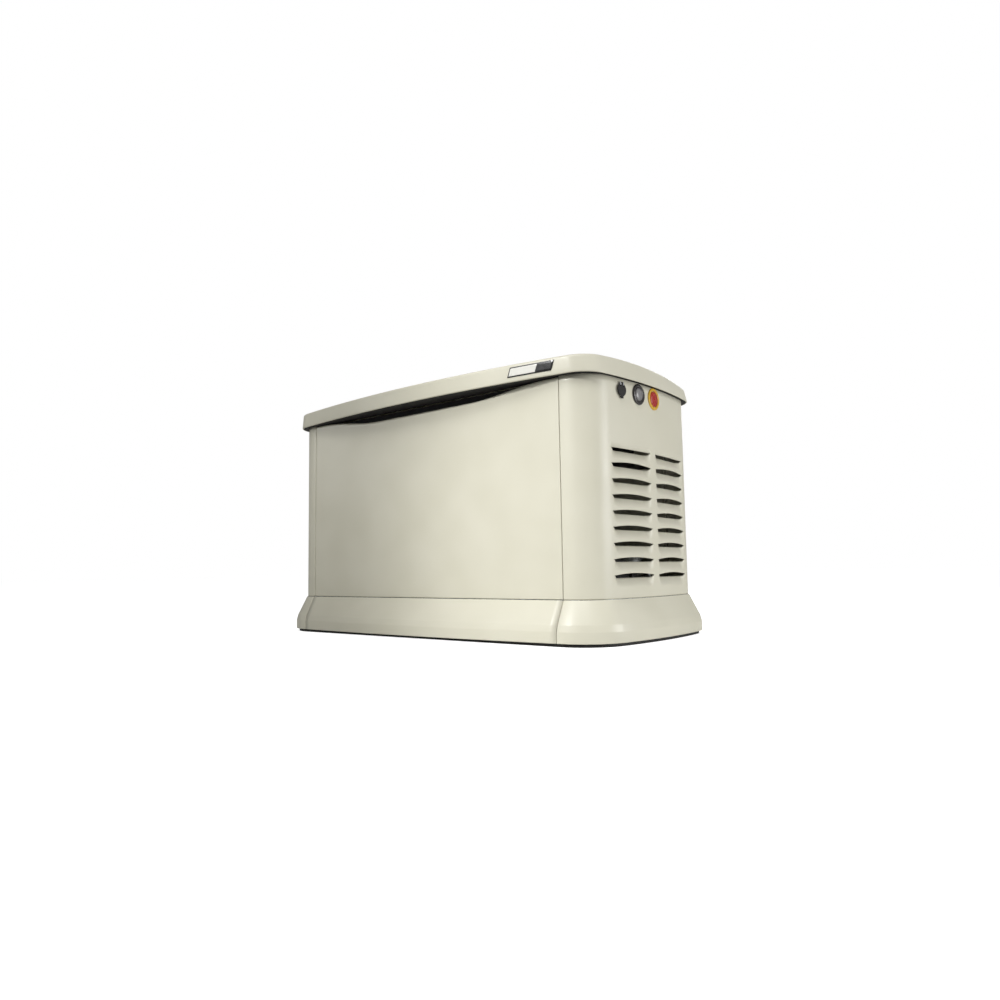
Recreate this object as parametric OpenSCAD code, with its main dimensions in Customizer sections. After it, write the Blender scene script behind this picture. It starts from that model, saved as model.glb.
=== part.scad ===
// Home standby generator: an air-cooled V-twin engine and a two-pole alternator on a base tray,
// closed in by painted aluminium panels with bowed ends, a hinged lid and a flared base fascia.
// X runs along the length (the louvred control end is +X), the front faces -Y, Z is up.
// The origin is at the middle of the foot, on the ground.

/* [Enclosure] */
// Length of the enclosure between the crowns of its two bowed ends
enc_len = 1203; // [1100:1:1500]
// Depth from the front panel to the rear panel
enc_dep = 550; // [500:1:680]
// Height of the walls above the base
wall_h = 560; // [540:1:720]
// Height of the base under the walls, with its foot
base_h = 112; // [90:1:150]
// Thickness of the painted sheet panels
sheet = 2; // [1.5:0.1:3]
// Radius of the bow of each end
end_bow_r = 1400; // [1100:10:2500]
// Radius of the four upright corners
corner_r = 90; // [70:1:110]
// Gap at each upright panel seam
seam_gap = 1.5; // [1:0.1:4]
// Length of wall between the front panel's seam and the start of the corner
seam_lead = 8; // [4:1:20]

/* [Front panel] */
// Depth of the finger dip in the front panel's top edge
dip_rise = 25; // [10:1:30]
// Length of the finger dip
dip_len = 860; // [400:10:900]
// Depth of the front panel's folded-in edges
fold = 16; // [8:1:22]

/* [Lid] */
// Overhang of the lid past the end walls and the rear wall
lid_over = 12.5; // [10:0.5:20]
// Overhang of the lid's brow at the middle of the front
brow = 50; // [30:1:60]
// Radius of the brow's sweep along the front
brow_r = 4000; // [3500:50:8000]
// Corner radius of the lid
lid_corner_r = 80; // [60:1:120]
// Height of the lid above the walls, at its crown
lid_h = 60; // [50:1:90]
// Fall of the lid's top from its crown to the front edge
lid_fall_front = 12; // [5:1:18]
// Fall of the lid's top from its crown to either end
lid_fall_end = 6; // [2:1:12]
// How far in front of the middle the crown lies
crown_lead = 60; // [0:1:100]
// Radius of the lid's upper edge
lid_edge_r = 8; // [8:1:28]
// Thickness of the lid
lid_t = 3; // [2:0.1:5]
// How far the lid opens, in degrees
lid_open = 65; // [30:1:70]
// Distance from the hinge axis to the stay's pivot on the lid
stay_r = 175; // [145:1:182]

/* [Base] */
// Thickness of the foot pad under the base
foot_t = 8; // [6:1:20]
// How far the fascia flares past the walls
flare = 36; // [25:1:50]
// Extra bow of the fascia at the middle of the front and the rear
fascia_bow = 17; // [0:1:25]
// Height of the fascia's crease above the ground
crease_z = 50; // [40:1:60]
// Thickness of the fascia
fascia_t = 3; // [2:0.1:4]
// Spacing of the anchor holes along the length
anchor_x = 1060; // [800:1:1100]
// Spacing of the anchor holes along the depth
anchor_y = 400; // [300:1:440]
// Diameter of the anchor holes
anchor_d = 11; // [8:0.5:14]

/* [Louvres] */
// Number of louvres in a column
louvre_rows = 9; // [3:1:10]
// Height from one louvre to the next
louvre_pitch = 40.2; // [36:0.1:44]
// Height of the top louvre's tips above the base
louvre_top = 379; // [340:1:400]
// Length of a louvre
louvre_w = 182; // [120:1:186]
// Width of plain sheet between two columns of louvres
louvre_gap = 22; // [12:1:60]
// Depth of a louvre's pressed-in blade
louvre_d = 13; // [6:0.5:16]
// Length of the ramp at each end of a blade
louvre_ramp = 28; // [14:1:34]
// Rise of the arched lip above a louvre's tips
lip_rise = 5.5; // [2:0.5:7]
// Drop of the blade's top edge below a louvre's tips
sill_drop = 5.5; // [2:0.5:7]

/* [Controls] */
// Height of the lock, lamp and stop button below the lid's edge
control_drop = 30; // [30:0.5:45]
// Place of the lock along each end, from the middle
lock_y = -146; // [-180:1:-120]
// Place of the status lamp along the end
lamp_y = -66; // [-90:1:-50]
// Place of the stop button along the end
estop_y = 13; // [5:1:60]
// Diameter of the lock barrel
lock_d = 20; // [16:0.5:24]
// Diameter of the lamp bezel
lamp_d = 56; // [40:1:58]
// Diameter of the stop button's collar
estop_ring_d = 60; // [50:1:60]
// Diameter of the stop button's mushroom head
estop_head_d = 42; // [30:1:46]
// Travel of the stop button
estop_travel = 5; // [3:0.5:6]

/* [Engine] */
// Height of the crankshaft above the ground
crank_z = 320; // [300:1:360]
// Radius of the crankshaft's main journals
journal_r = 22; // [18:0.5:26]
// Radius of the shaft through the alternator
shaft_r = 17.5; // [14:0.5:20]
// Cylinder bore radius
bore_r = 42; // [36:0.5:45]
// Half the stroke
throw = 32; // [26:0.5:36]
// Teeth on the flywheel's ring gear
ring_teeth = 96; // [84:12:108]
// Teeth on the starter's pinion
pinion_teeth = 12; // [10:1:14]
// Gear module
gear_module = 2.5; // [2:0.1:2.6]
// Width of the ring gear, which is also the travel of the starter's pinion into mesh
gear_w = 10; // [8:0.5:12]
// Outer radius of the rotor
rotor_r = 88; // [70:1:95]
// Air gap between the rotor and the stator
air_gap = 1.5; // [0.8:0.1:3]

/* [Fits] */
// Radial clearance of a shaft that turns in its bore
run_fit = 0.06; // [0.02:0.01:0.1]
// Gap between pieces that pass each other
pass_gap = 0.5; // [0.3:0.1:1]

/* [Hidden] */

// colours
beige = "#d9d5c1";
black = "#1c1c1b";
steel = "#a9abad";
alloy = "#b9bbbd";
iron = "#5a5a58";
rubber = "#242424";

fine = 720;     // facets of a large circle
mid = 96;       // facets of a middling circle
small = 40;     // facets of a small circle
eps = 0.01;

// main places
half_l = enc_len / 2;
half_d = enc_dep / 2;
top_z = base_h + wall_h;
bow_cx = half_l - end_bow_r;
cor_y = half_d - corner_r;
cor_x = bow_cx + sqrt(pow(end_bow_r - corner_r, 2) - pow(cor_y, 2));
cor_a = atan2(cor_y, cor_x - bow_cx);
seam_x = cor_x - seam_lead;
control_z = top_z - control_drop;

// hinge and stay
hinge_y = half_d - 13;
hinge_z = top_z - 8;
hinge_x = 0.29 * enc_len;
hinge_pin_r = 4;
knuckle_r = 8;
knuckle_len = 24;
stay_x = -(half_l - 34);
stay_w = 16;
stay_t = 3;
stay_pin_r = 4;
track_t = 4;

// louvre bank
blade_h = louvre_pitch - lip_rise - sill_drop - 5;

// engine bay
case_x0 = -200;
case_x1 = 0;
case_r = 88;
cavity_r = throw + 44;
deck_r = 92;
barrel_h = 98;
barrel_r = bore_r + 8;
bank_x = [-122, -78];
fin_w = 116;
fly_x0 = -285;
fly_x1 = -222;
gear_x1 = -212;
ring_pitch_r = ring_teeth * gear_module / 2;
pinion_pitch_r = pinion_teeth * gear_module / 2;
gear_play = 0.35;
mesh_dist = ring_pitch_r + pinion_pitch_r + gear_play;
starter_a = -22.5;
pinion_shaft_r = 8;
starter_r = 36;
starter_y = mesh_dist * cos(starter_a);
starter_z = crank_z + mesh_dist * sin(starter_a);
core_r = rotor_r + air_gap;
can_r = core_r + 32;
can_x0 = 5;
can_x1 = 235;
divider_x = -340;
tray_top = foot_t + 4;

// ---------- shared shapes ----------

// A box between two corners
module block(lo, hi) {
    translate(lo) cube(hi - lo);
}

// A round bar along X, with a bore when r_in is given
module bar_x(x0, x1, r, r_in = 0, y = 0, z = 0) {
    translate([x0, y, z]) rotate([0, 90, 0]) difference() {
        cylinder(h = x1 - x0, r = r, $fn = mid);
        if (r_in > 0) translate([0, 0, -1]) cylinder(h = x1 - x0 + 2, r = r_in, $fn = mid);
    }
}

// The wall's plan, grown outwards by o: flat long sides, bowed ends and round corners
module enc_plan(o) {
    module wedge() {
        polygon([
            [cor_x, cor_y],
            [cor_x, half_d + 200],
            [half_l + 300, half_d + 200],
            [cor_x + 400 * cos(cor_a), cor_y + 400 * sin(cor_a)]
        ]);
    }
    difference() {
        intersection() {
            square([2 * half_l + 200, 2 * (half_d + o)], center = true);
            translate([bow_cx, 0]) circle(r = end_bow_r + o, $fn = fine);
            translate([-bow_cx, 0]) circle(r = end_bow_r + o, $fn = fine);
        }
        for (sx = [0, 1], sy = [0, 1]) mirror([sx, 0]) mirror([0, sy]) wedge();
    }
    for (sx = [0, 1], sy = [0, 1]) mirror([sx, 0]) mirror([0, sy]) intersection() {
        translate([cor_x, cor_y]) circle(r = corner_r + o, $fn = 2 * fine / 3);
        wedge();
    }
}

// Places its children on the bowed right end at y, z: local X points straight out of the wall
module at_end(y, z) {
    translate([bow_cx, 0, z]) rotate([0, 0, asin(y / end_bow_r)]) translate([end_bow_r, 0, 0]) children();
}

// A bar along the local X of at_end
module peg(x0, x1, r, r_in = 0) {
    bar_x(x0, x1, r, r_in);
}

// A closed skin through rings of points, each ring joined to the next and the last to the first
module loft_loop(rings) {
    n = len(rings[0]);
    m = len(rings);
    points = [for (r = rings) for (p = r) p];
    sides = [for (i = [0 : m - 2], j = [0 : n - 1]) let (k = (j + 1) % n)
        [i * n + j, i * n + k, (i + 1) * n + k, (i + 1) * n + j]];
    tris = [for (q = sides) each [[q[0], q[1], q[2]], [q[0], q[2], q[3]]]];
    first = [for (j = [n - 1 : -1 : 0]) j];
    last = [for (j = [0 : n - 1]) (m - 1) * n + j];
    polyhedron(points = points, faces = concat(tris, [first], [last]), convexity = 6);
}

function unit(v) = v / norm(v);

// Rings of a round tube along a route of points
function tube_rings(route, r, sides = 8) = [for (i = [0 : len(route) - 1]) let (
    a = route[max(i - 1, 0)],
    b = route[min(i + 1, len(route) - 1)],
    t = unit(b - a),
    s = unit(cross(t, abs(t[2]) < 0.9 ? [0, 0, 1] : [1, 0, 0])),
    u = cross(s, t)
) [for (k = [0 : sides - 1]) route[i] + r * (cos(360 * k / sides) * s + sin(360 * k / sides) * u)]];

// A smooth route through hand-chosen points, n steps between each two
function spline(p, n = 4) = [for (i = [0 : len(p) - 2], j = [0 : n - (i == len(p) - 2 ? 0 : 1)]) let (
    t = j / n,
    a = p[max(i - 1, 0)], b = p[i], c = p[i + 1], d = p[min(i + 2, len(p) - 1)]
) 0.5 * (2 * b + (c - a) * t + (2 * a - 5 * b + 4 * c - d) * t * t + (3 * b - a - 3 * c + d) * t * t * t)];

module hose(points, r, n = 4, sides = 8) {
    loft_loop(tube_rings(spline(points, n), r, sides));
}

// ---------- base ----------

module anchor_holes(z0, z1) {
    for (sx = [-1, 1], sy = [-1, 1])
        translate([sx * anchor_x / 2, sy * anchor_y / 2, z0]) cylinder(h = z1 - z0, d = anchor_d, $fn = small);
}

module foot_pad() {
    color(black) difference() {
        linear_extrude(foot_t) enc_plan(flare - 9);
        anchor_holes(-1, foot_t + 1);
    }
}

tray_wall = 3;
isolator_x = [-170, -30, 90, 200];
isolator_y = 120;
isolator_h = 30;
isolator_r = 22;

module base_tray() {
    color(steel) {
        difference() {
            translate([0, 0, foot_t]) linear_extrude(base_h - foot_t) enc_plan(-1);
            translate([0, 0, tray_top]) linear_extrude(base_h) enc_plan(-1 - tray_wall);
            anchor_holes(0, tray_top + 1);
        }
        // cross members that carry the engine
        for (x = isolator_x) difference() {
            block([x - 25, -isolator_y - 30, tray_top], [x + 25, isolator_y + 30, base_h - 12]);
            block([x - 22, -isolator_y - 40, tray_top - 1], [x + 22, isolator_y + 40, base_h - 15]);
        }
    }
}

// Points of the fascia's section, as [distance out from the wall, height]
function fascia_section(extra) = let (
    low = base_h - crease_z,
    in_x = fascia_t,
    foot = 8
) [
    [0, base_h - 0.5],
    [2, base_h - 0.5],
    [flare - 5 + extra * 0.94, crease_z + low * 0.06],
    [flare - 1.5 + extra, crease_z - 2],
    [flare - 0.5 + extra, crease_z - 8],
    [flare + extra, foot],
    [flare + extra - in_x, foot],
    [flare - 0.5 + extra - in_x, crease_z - 8],
    [flare - 5 + extra * 0.94 - in_x, crease_z - 3],
    [0, base_h - 0.5 - in_x]
];

// One ring of the fascia, from a wall point p and its outward direction n
function fascia_ring(p, n, extra) = [for (s = fascia_section(extra)) [p[0] + n[0] * s[0], p[1] + n[1] * s[0], s[1]]];

function bow_at(x) = fascia_bow * (1 - pow(x / seam_x, 2));

module long_fascia() {
    steps = 24;
    half = seam_x + 3 - 0.4;
    loft_loop([for (i = [0 : steps]) let (x = -half + 2 * half * i / steps)
        fascia_ring([x, -half_d], [0, -1], max(0, bow_at(x)))]);
}

// The fascia that wraps an end, from seam to seam
module end_fascia() {
    corner_steps = 12;
    bow_steps = 12;
    rings = concat(
        [fascia_ring([seam_x + 3, -half_d], [0, -1], 0)],
        [for (i = [0 : corner_steps]) let (a = -90 + (90 - cor_a) * i / corner_steps)
            fascia_ring([cor_x + corner_r * cos(a), -cor_y + corner_r * sin(a)], [cos(a), sin(a)], 0)],
        [for (i = [1 : bow_steps - 1]) let (a = -cor_a + 2 * cor_a * i / bow_steps)
            fascia_ring([bow_cx + end_bow_r * cos(a), end_bow_r * sin(a)], [cos(a), sin(a)], 0)],
        [for (i = [0 : corner_steps]) let (a = cor_a + (90 - cor_a) * i / corner_steps)
            fascia_ring([cor_x + corner_r * cos(a), cor_y + corner_r * sin(a)], [cos(a), sin(a)], 0)],
        [fascia_ring([seam_x + 3, half_d], [0, 1], 0)]
    );
    loft_loop(rings);
}

module fascia_front() { color(beige) long_fascia(); }
module fascia_rear() { color(beige) rotate([0, 0, 180]) long_fascia(); }
module fascia_right() { color(beige) end_fascia(); }
module fascia_left() { color(beige) rotate([0, 0, 180]) end_fascia(); }

// ---------- walls ----------

// The hollow that a louvre's blade leaves outside the wall, grown by o
module blade_space(o) {
    intersection() {
        rotate([90, 0, 0]) translate([0, 0, -louvre_w]) linear_extrude(2 * louvre_w) polygon([
            [9, 0], [-louvre_d - o, 0], [-o, -blade_h - o / 2], [9, -blade_h - o / 2]
        ]);
        translate([0, 0, -2 * blade_h]) linear_extrude(3 * blade_h) polygon([
            [9, -louvre_w / 2 - o], [-3.5 - o, -louvre_w / 2 - o / 2], [-louvre_d - o, louvre_ramp - louvre_w / 2 - o],
            [-louvre_d - o, louvre_w / 2 - louvre_ramp + o], [-3.5 - o, louvre_w / 2 + o / 2], [9, louvre_w / 2 + o]
        ]);
    }
}

// The opening above a blade: an arched lip over the line of the tips, and the blade's sunk edge under it
module slot_cut(rise) {
    steps = 12;
    half = louvre_w / 2;
    rotate([90, 0, 90]) translate([0, 0, -8]) linear_extrude(24) polygon(concat(
        [for (i = [0 : steps]) let (u = 1 - 2 * i / steps) [half * u, rise * (1 - u * u)]],
        [[6 - half, -sill_drop - eps], [half - 6, -sill_drop - eps]]
    ));
}

bank_col_y = (louvre_w + louvre_gap) / 2;

// Repeats its children at every louvre of an end wall
module each_louvre() {
    for (col = [-1, 1], row = [0 : louvre_rows - 1])
        at_end(col * bank_col_y, base_h + louvre_top - row * louvre_pitch) children();
}

module louvred_end() {
    difference() {
        translate([0, 0, base_h]) linear_extrude(wall_h) intersection() {
            difference() {
                enc_plan(0);
                enc_plan(-sheet);
            }
            translate([seam_x + seam_gap, -half_d - 10]) square([half_l, 2 * half_d + 20]);
        }
        each_louvre() translate([0, 0, -sill_drop]) blade_space(0);
        for (col = [-1, 1], row = [0 : louvre_rows - 1])
            at_end(col * bank_col_y, base_h + louvre_top - row * louvre_pitch) slot_cut(row > 0 ? lip_rise : 0);
    }
    intersection() {
        translate([0, 0, base_h]) linear_extrude(wall_h) enc_plan(0);
        each_louvre() translate([0, 0, -sill_drop]) difference() {
            blade_space(sheet);
            blade_space(0);
            translate([-40, -louvre_w, 0]) cube([60, 2 * louvre_w, 10]);
        }
    }
}

module right_end_panel() {
    color(beige) difference() {
        louvred_end();
        at_end(lock_y, control_z) peg(-10, 10, lock_d / 2);
        at_end(lamp_y, control_z) peg(-10, 10, lamp_d / 2 - 8);
        at_end(estop_y, control_z) peg(-10, 10, estop_head_d / 2 + 3);
    }
}

module left_end_panel() {
    color(beige) mirror([1, 0, 0]) difference() {
        louvred_end();
        at_end(lock_y, control_z) peg(-10, 10, lock_d / 2);
    }
}

fuel_x = 420;
fuel_z = base_h + 48;
conduit_x = fuel_x - 80;
fuel_hole_r = 14;
conduit_hole_r = 17;
rear_slots = 8;
rear_slot_pitch = 22;
rear_slot_x = [-seam_x / 2, 80];   // the right group sits clear of the end louvres' line of sight

module rear_panel() {
    color(beige) difference() {
        block([-seam_x, half_d - sheet, base_h], [seam_x, half_d, top_z]);
        for (x = rear_slot_x, k = [0 : rear_slots - 1])
            block([x - 90, half_d - sheet - 1, base_h + 230 + k * rear_slot_pitch],
                [x + 90, half_d + 1, base_h + 238 + k * rear_slot_pitch]);
        for (p = [[fuel_x, fuel_hole_r], [conduit_x, conduit_hole_r]])
            translate([p[0], half_d - sheet - 1, fuel_z]) rotate([-90, 0, 0]) cylinder(h = sheet + 2, r = p[1], $fn = small);
    }
}

dip_r = (pow(dip_len / 2, 2) + pow(dip_rise, 2)) / (2 * dip_rise);
panel_t = sheet;

module front_panel() {
    bottom = base_h + pass_gap;
    top = top_z - 1;
    side = seam_x - 0.2;
    color(beige) difference() {
        union() {
            block([-side, -half_d, bottom], [side, -half_d + panel_t, top]);
            for (s = [-1, 1]) translate([s * (side - panel_t / 2), -half_d + fold / 2, (bottom + top - 40) / 2])
                cube([panel_t, fold, top - 40 - bottom], center = true);
            block([-side, -half_d, bottom], [side, -half_d + fold, bottom + panel_t]);
        }
        translate([0, -half_d + fold + 1, top - dip_rise + dip_r]) rotate([90, 0, 0]) cylinder(h = 2 * fold, r = dip_r, $fn = fine);
    }
}

rail_front = -half_d + fold + 9;

// Black cross rail behind the front panel's top edge: the hand goes in front of it, under the brow
module front_top_rail() {
    color(black) difference() {
        block([-seam_x - 7, rail_front, top_z - 44], [seam_x + 7, rail_front + 22, top_z - 1]);
        block([-seam_x - 10, rail_front + 3, top_z - 50], [seam_x + 10, rail_front + 30, top_z - 4]);
    }
    // end tabs, screwed to the inside of the end panels
    color(black) for (s = [0, 1]) mirror([s, 0, 0])
        block([seam_x + 3, -half_d + sheet, top_z - 44], [seam_x + 7, rail_front + eps, top_z - 4]);
}

module hot_side_divider() {
    color(steel) difference() {
        block([divider_x - 2, -half_d + 33, tray_top], [divider_x, half_d - 20, top_z - 50]);
        bar_x(divider_x - 10, divider_x + 10, 112, z = crank_z);
        for (s = [-1, 1]) bar_x(divider_x - 10, divider_x + 10, 30, y = s * 205, z = crank_z + 95);
    }
}

// ---------- lid ----------

// Plan of the lid as arcs: [centre x, centre y, radius, first angle, last angle, steps], anticlockwise
lid_end_r = end_bow_r + lid_over;
lid_front_cy = brow_r - half_d - brow;
lid_rear = half_d + lid_over + 1.5;

// Centre of the front corner: it touches the brow's arc and the end's arc from inside
function two_circles(p, rp, q, rq) = let (
    d = norm(q - p),
    a = (rp * rp - rq * rq + d * d) / (2 * d),
    h = sqrt(rp * rp - a * a),
    e = (q - p) / d
) p + a * e - h * [e[1], -e[0]];

lid_fc = two_circles([0, lid_front_cy], brow_r - lid_corner_r, [bow_cx, 0], lid_end_r - lid_corner_r);
lid_fc_x = lid_fc[0];
lid_fc_y = lid_fc[1];
lid_rc_y = lid_rear - lid_corner_r;
lid_rc_x = bow_cx + sqrt(pow(lid_end_r - lid_corner_r, 2) - pow(lid_rc_y, 2));
brow_a = atan2(lid_fc_x, lid_front_cy - lid_fc_y);
front_a = atan2(lid_fc_y, lid_fc_x - bow_cx);
rear_a = atan2(lid_rc_y, lid_rc_x - bow_cx);

function arc(cx, cy, r, a0, a1, n, inset) = [for (i = [0 : n - 1]) let (a = a0 + (a1 - a0) * i / n)
    [cx + (r - inset) * cos(a), cy + (r - inset) * sin(a)]];

// The lid's outline, drawn in by inset, anticlockwise from the left end of the brow
function lid_outline(inset) = let (
    right = concat(
        arc(0, lid_front_cy, brow_r, -90, -90 + brow_a, 10, inset),
        arc(lid_fc_x, lid_fc_y, lid_corner_r, -90 + brow_a, front_a, 8, inset),
        arc(bow_cx, 0, lid_end_r, front_a, rear_a, 10, inset),
        arc(lid_rc_x, lid_rc_y, lid_corner_r, rear_a, 90, 8, inset),
        [[lid_rc_x, lid_rear - inset], [lid_rc_x / 2, lid_rear - inset]]
    ),
    n = len(right)
) concat(right, [[0, lid_rear - inset]], [for (i = [n - 1 : -1 : 1]) [-right[i][0], right[i][1]]]);

crown_k = lid_fall_front / pow(half_d + brow - lid_edge_r - crown_lead, 2);
function crown(p) = top_z + lid_h - crown_k * pow(p[1] + crown_lead, 2)
    - lid_fall_end * pow(p[0] / half_l, 2);

// One ring of the lid's skin: drawn in by d from the edge, and dropped to round the edge over
function lid_ring(d, sink) = [for (p = lid_outline(d)) let (
    drop = d >= lid_edge_r ? 0 : lid_edge_r - sqrt(pow(lid_edge_r, 2) - pow(lid_edge_r - d, 2))
) [p[0], p[1], crown(p) - drop - sink]];

// A ring shrunk towards the middle, over the flat of the top
function lid_inner_ring(s, sink) = [for (p = lid_outline(lid_edge_r)) let (q = [p[0] * s, p[1] * s])
    [q[0], q[1], crown(q) - sink]];

function edge_insets(n, d0) = [for (i = [0 : n]) d0 + (lid_edge_r - d0) * (1 - cos(90 * i / n))];

module lid() {
    shrink = [0.9, 0.7, 0.45, 0.2];
    outside = concat(
        [[for (p = lid_outline(0)) [p[0], p[1], top_z]]],
        [for (d = edge_insets(5, 0)) lid_ring(d, 0)],
        [for (s = shrink) lid_inner_ring(s, 0)]
    );
    inside = concat(
        [for (i = [len(shrink) - 1 : -1 : 0]) lid_inner_ring(shrink[i], lid_t)],
        [for (i = [5 : -1 : 0]) lid_ring(edge_insets(5, lid_t)[i], lid_t)],
        [[for (p = lid_outline(lid_t)) [p[0], p[1], top_z]]]
    );
    rings = concat(outside, inside);
    n = len(rings[0]);
    m = len(rings);
    last_out = len(outside) - 1;
    points = concat([for (r = rings) for (p = r) p], [[0, 0, crown([0, 0])], [0, 0, crown([0, 0]) - lid_t]]);
    skin = [for (i = [0 : m - 1], j = [0 : n - 1]) let (k = (j + 1) % n, h = (i + 1) % m)
        if (i != last_out) each [[i * n + k, i * n + j, h * n + j], [i * n + k, h * n + j, h * n + k]]];
    caps = [for (j = [0 : n - 1]) let (k = (j + 1) % n) each [
        [last_out * n + k, last_out * n + j, m * n],
        [(last_out + 1) * n + j, (last_out + 1) * n + k, m * n + 1]
    ]];
    color(beige) polyhedron(points = points, faces = concat(skin, caps), convexity = 8);
}

// The lid's plan as a flat shape, drawn in by inset
module lid_flat(inset) {
    polygon(lid_outline(inset));
}

gasket_t = 5;

module lid_gasket() {
    color(rubber) translate([0, 0, top_z + 0.5]) linear_extrude(gasket_t) difference() {
        lid_flat(lid_t + 0.5);
        enc_plan(-fold - 4);
        // left out where the lid swings down behind the rear panel, and around the hinges
        translate([-cor_x - 52, hinge_y - 12]) square([2 * cor_x + 104, 120]);
        translate([-hinge_x - 45, hinge_y - 95]) square([2 * hinge_x + 90, 120]);
    }
}

badge_x0 = 354;
badge_w = 140;
badge_h = 26;
badge_t = 1.2;
badge_skew = 9;

// A plain two-field plate on the brow, with no lettering
module lid_badge() {
    z0 = top_z + 12;
    a = asin((badge_x0 + badge_w / 2) / brow_r);
    color(black) translate([0, lid_front_cy, z0]) rotate([0, 0, a]) translate([0, -brow_r - 0.6, 0])
        rotate([90, 0, 0]) linear_extrude(badge_t) polygon([
            [-badge_w / 2, 0], [badge_w / 2 - badge_skew, 0], [badge_w / 2, badge_h], [badge_skew - badge_w / 2, badge_h]
        ]);
}

// Each hinge: two fixed knuckles and one lid knuckle between them, on one pin
module each_hinge() {
    for (s = [-1, 1]) translate([s * hinge_x, 0, 0]) children();
}

module hinge_fixed_leaves() {
    inner = half_d - sheet;
    color(steel) each_hinge() for (s = [-1, 1]) difference() {
        union() {
            translate([s * (knuckle_len + pass_gap), hinge_y, hinge_z]) rotate([0, 90, 0])
                cylinder(h = knuckle_len, r = knuckle_r, center = true, $fn = mid);
            translate([s * (knuckle_len + pass_gap) - knuckle_len / 2, inner - 5, hinge_z - 60])
                cube([knuckle_len, 5, 60]);
        }
        bar_x(-80, 80, hinge_pin_r + run_fit, 0, hinge_y, hinge_z);
    }
}

arm_reach = 26;

module hinge_lid_leaves() {
    w = knuckle_len - pass_gap;
    y1 = hinge_y - arm_reach;
    y0 = y1 - 54;
    z1 = crown([hinge_x + w, y1]) - lid_t - 0.5;
    z0 = crown([hinge_x + w, y0]) - lid_t - 0.5;
    color(steel) each_hinge() difference() {
        union() {
            translate([0, hinge_y, hinge_z]) rotate([0, 90, 0]) cylinder(h = w, r = knuckle_r, center = true, $fn = mid);
            translate([-w / 2, hinge_y - arm_reach, hinge_z - 3]) cube([w, arm_reach, 6]);
            rotate([90, 0, 90]) translate([0, 0, -w / 2]) linear_extrude(w) polygon([
                [y1, hinge_z - 3], [y1, z1], [y0, z0], [y0, z0 - 4], [y1 - 4, z1 - 4], [y1 - 4, hinge_z - 3]
            ]);
        }
        bar_x(-80, 80, hinge_pin_r + run_fit, 0, hinge_y, hinge_z);
    }
}

module hinge_pins() {
    color(steel) each_hinge() {
        bar_x(-1.5 * knuckle_len - 2, 1.5 * knuckle_len + 2, hinge_pin_r, 0, hinge_y, hinge_z);
        bar_x(1.5 * knuckle_len + 1, 1.5 * knuckle_len + 4, hinge_pin_r + 2, 0, hinge_y, hinge_z);
    }
}

// The stay: a link as long as its pivot is far from the hinge, so that its lower pin
// always lies on a level line through the hinge axis, where the track's slot is
stay_pivot_y = hinge_y - stay_r;
stay_pin_y = hinge_y - 2 * stay_r;
stay_pin_open = hinge_y - 2 * stay_r * cos(lid_open);

module stay_track() {
    x0 = stay_x - track_t - 2;
    color(steel) difference() {
        union() {
            block([x0, stay_pin_y - 16, hinge_z - 14], [x0 + track_t, stay_pin_open + 16, hinge_z + 7]);
            // shelf out to the end panel
            intersection() {
                block([-half_l, stay_pin_y - 16, hinge_z - 14], [x0 + track_t, stay_pin_open + 16, hinge_z - 11]);
                linear_extrude(top_z) enc_plan(-sheet - eps);
            }
        }
        for (y = [stay_pin_y, stay_pin_open])
            bar_x(x0 - 1, x0 + track_t + 1, stay_pin_r + pass_gap, 0, y, hinge_z);
        block([x0 - 1, stay_pin_y, hinge_z - stay_pin_r - pass_gap],
            [x0 + track_t + 1, stay_pin_open, hinge_z + stay_pin_r + pass_gap]);
    }
}

module lid_stay() {
    color(steel) difference() {
        union() {
            block([stay_x, stay_pin_y, hinge_z - stay_w / 2], [stay_x + stay_t, stay_pivot_y, hinge_z + stay_w / 2]);
            bar_x(stay_x, stay_x + stay_t, stay_w / 2, 0, stay_pin_y, hinge_z);
            bar_x(stay_x, stay_x + stay_t, stay_w / 2, 0, stay_pivot_y, hinge_z);
            bar_x(stay_x - track_t - 5, stay_x + eps, stay_pin_r, 0, stay_pin_y, hinge_z);
        }
        bar_x(stay_x - 1, stay_x + stay_t + 1, stay_pin_r + run_fit, 0, stay_pivot_y, hinge_z);
    }
}

catch_y0 = lock_y + 17;
catch_y1 = lock_y + 35;
catch_x1 = bow_cx + sqrt(pow(end_bow_r, 2) - pow(lock_y, 2)) - 22;

// The lid's own ironwork: a hooked catch at each end and, on the left, the bracket that carries the stay
module lid_catches() {
    foot_z = control_z - 18;
    under = crown([catch_x1 - 17, catch_y0]) - lid_t - 0.2;
    color(steel) {
        for (s = [0, 1]) mirror([s, 0, 0]) {
            block([catch_x1 - 20, catch_y0, foot_z], [catch_x1 - 17, catch_y1, under]);
            block([catch_x1 - 20, catch_y0, foot_z], [catch_x1, catch_y1, foot_z + 4]);
            block([catch_x1 - 40, catch_y0, under - 3], [catch_x1 - 17, catch_y1, under]);
        }
        bar_x(stay_x - 1, stay_x + stay_t + 4, stay_pin_r, 0, stay_pivot_y, hinge_z);
        block([stay_x + stay_t + 1, stay_pivot_y - 12, hinge_z - 8],
            [stay_x + stay_t + 4, stay_pivot_y + 12, crown([stay_x, stay_pivot_y]) - lid_t - 2]);
    }
}

// ---------- controls on the ends ----------

lock_flange_r = lock_d / 2 + 4;
cam_x = -26;
cam_len = 32;
cap_pivot = lock_flange_r + 4;
cap_pin_x = 4.2;

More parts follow.
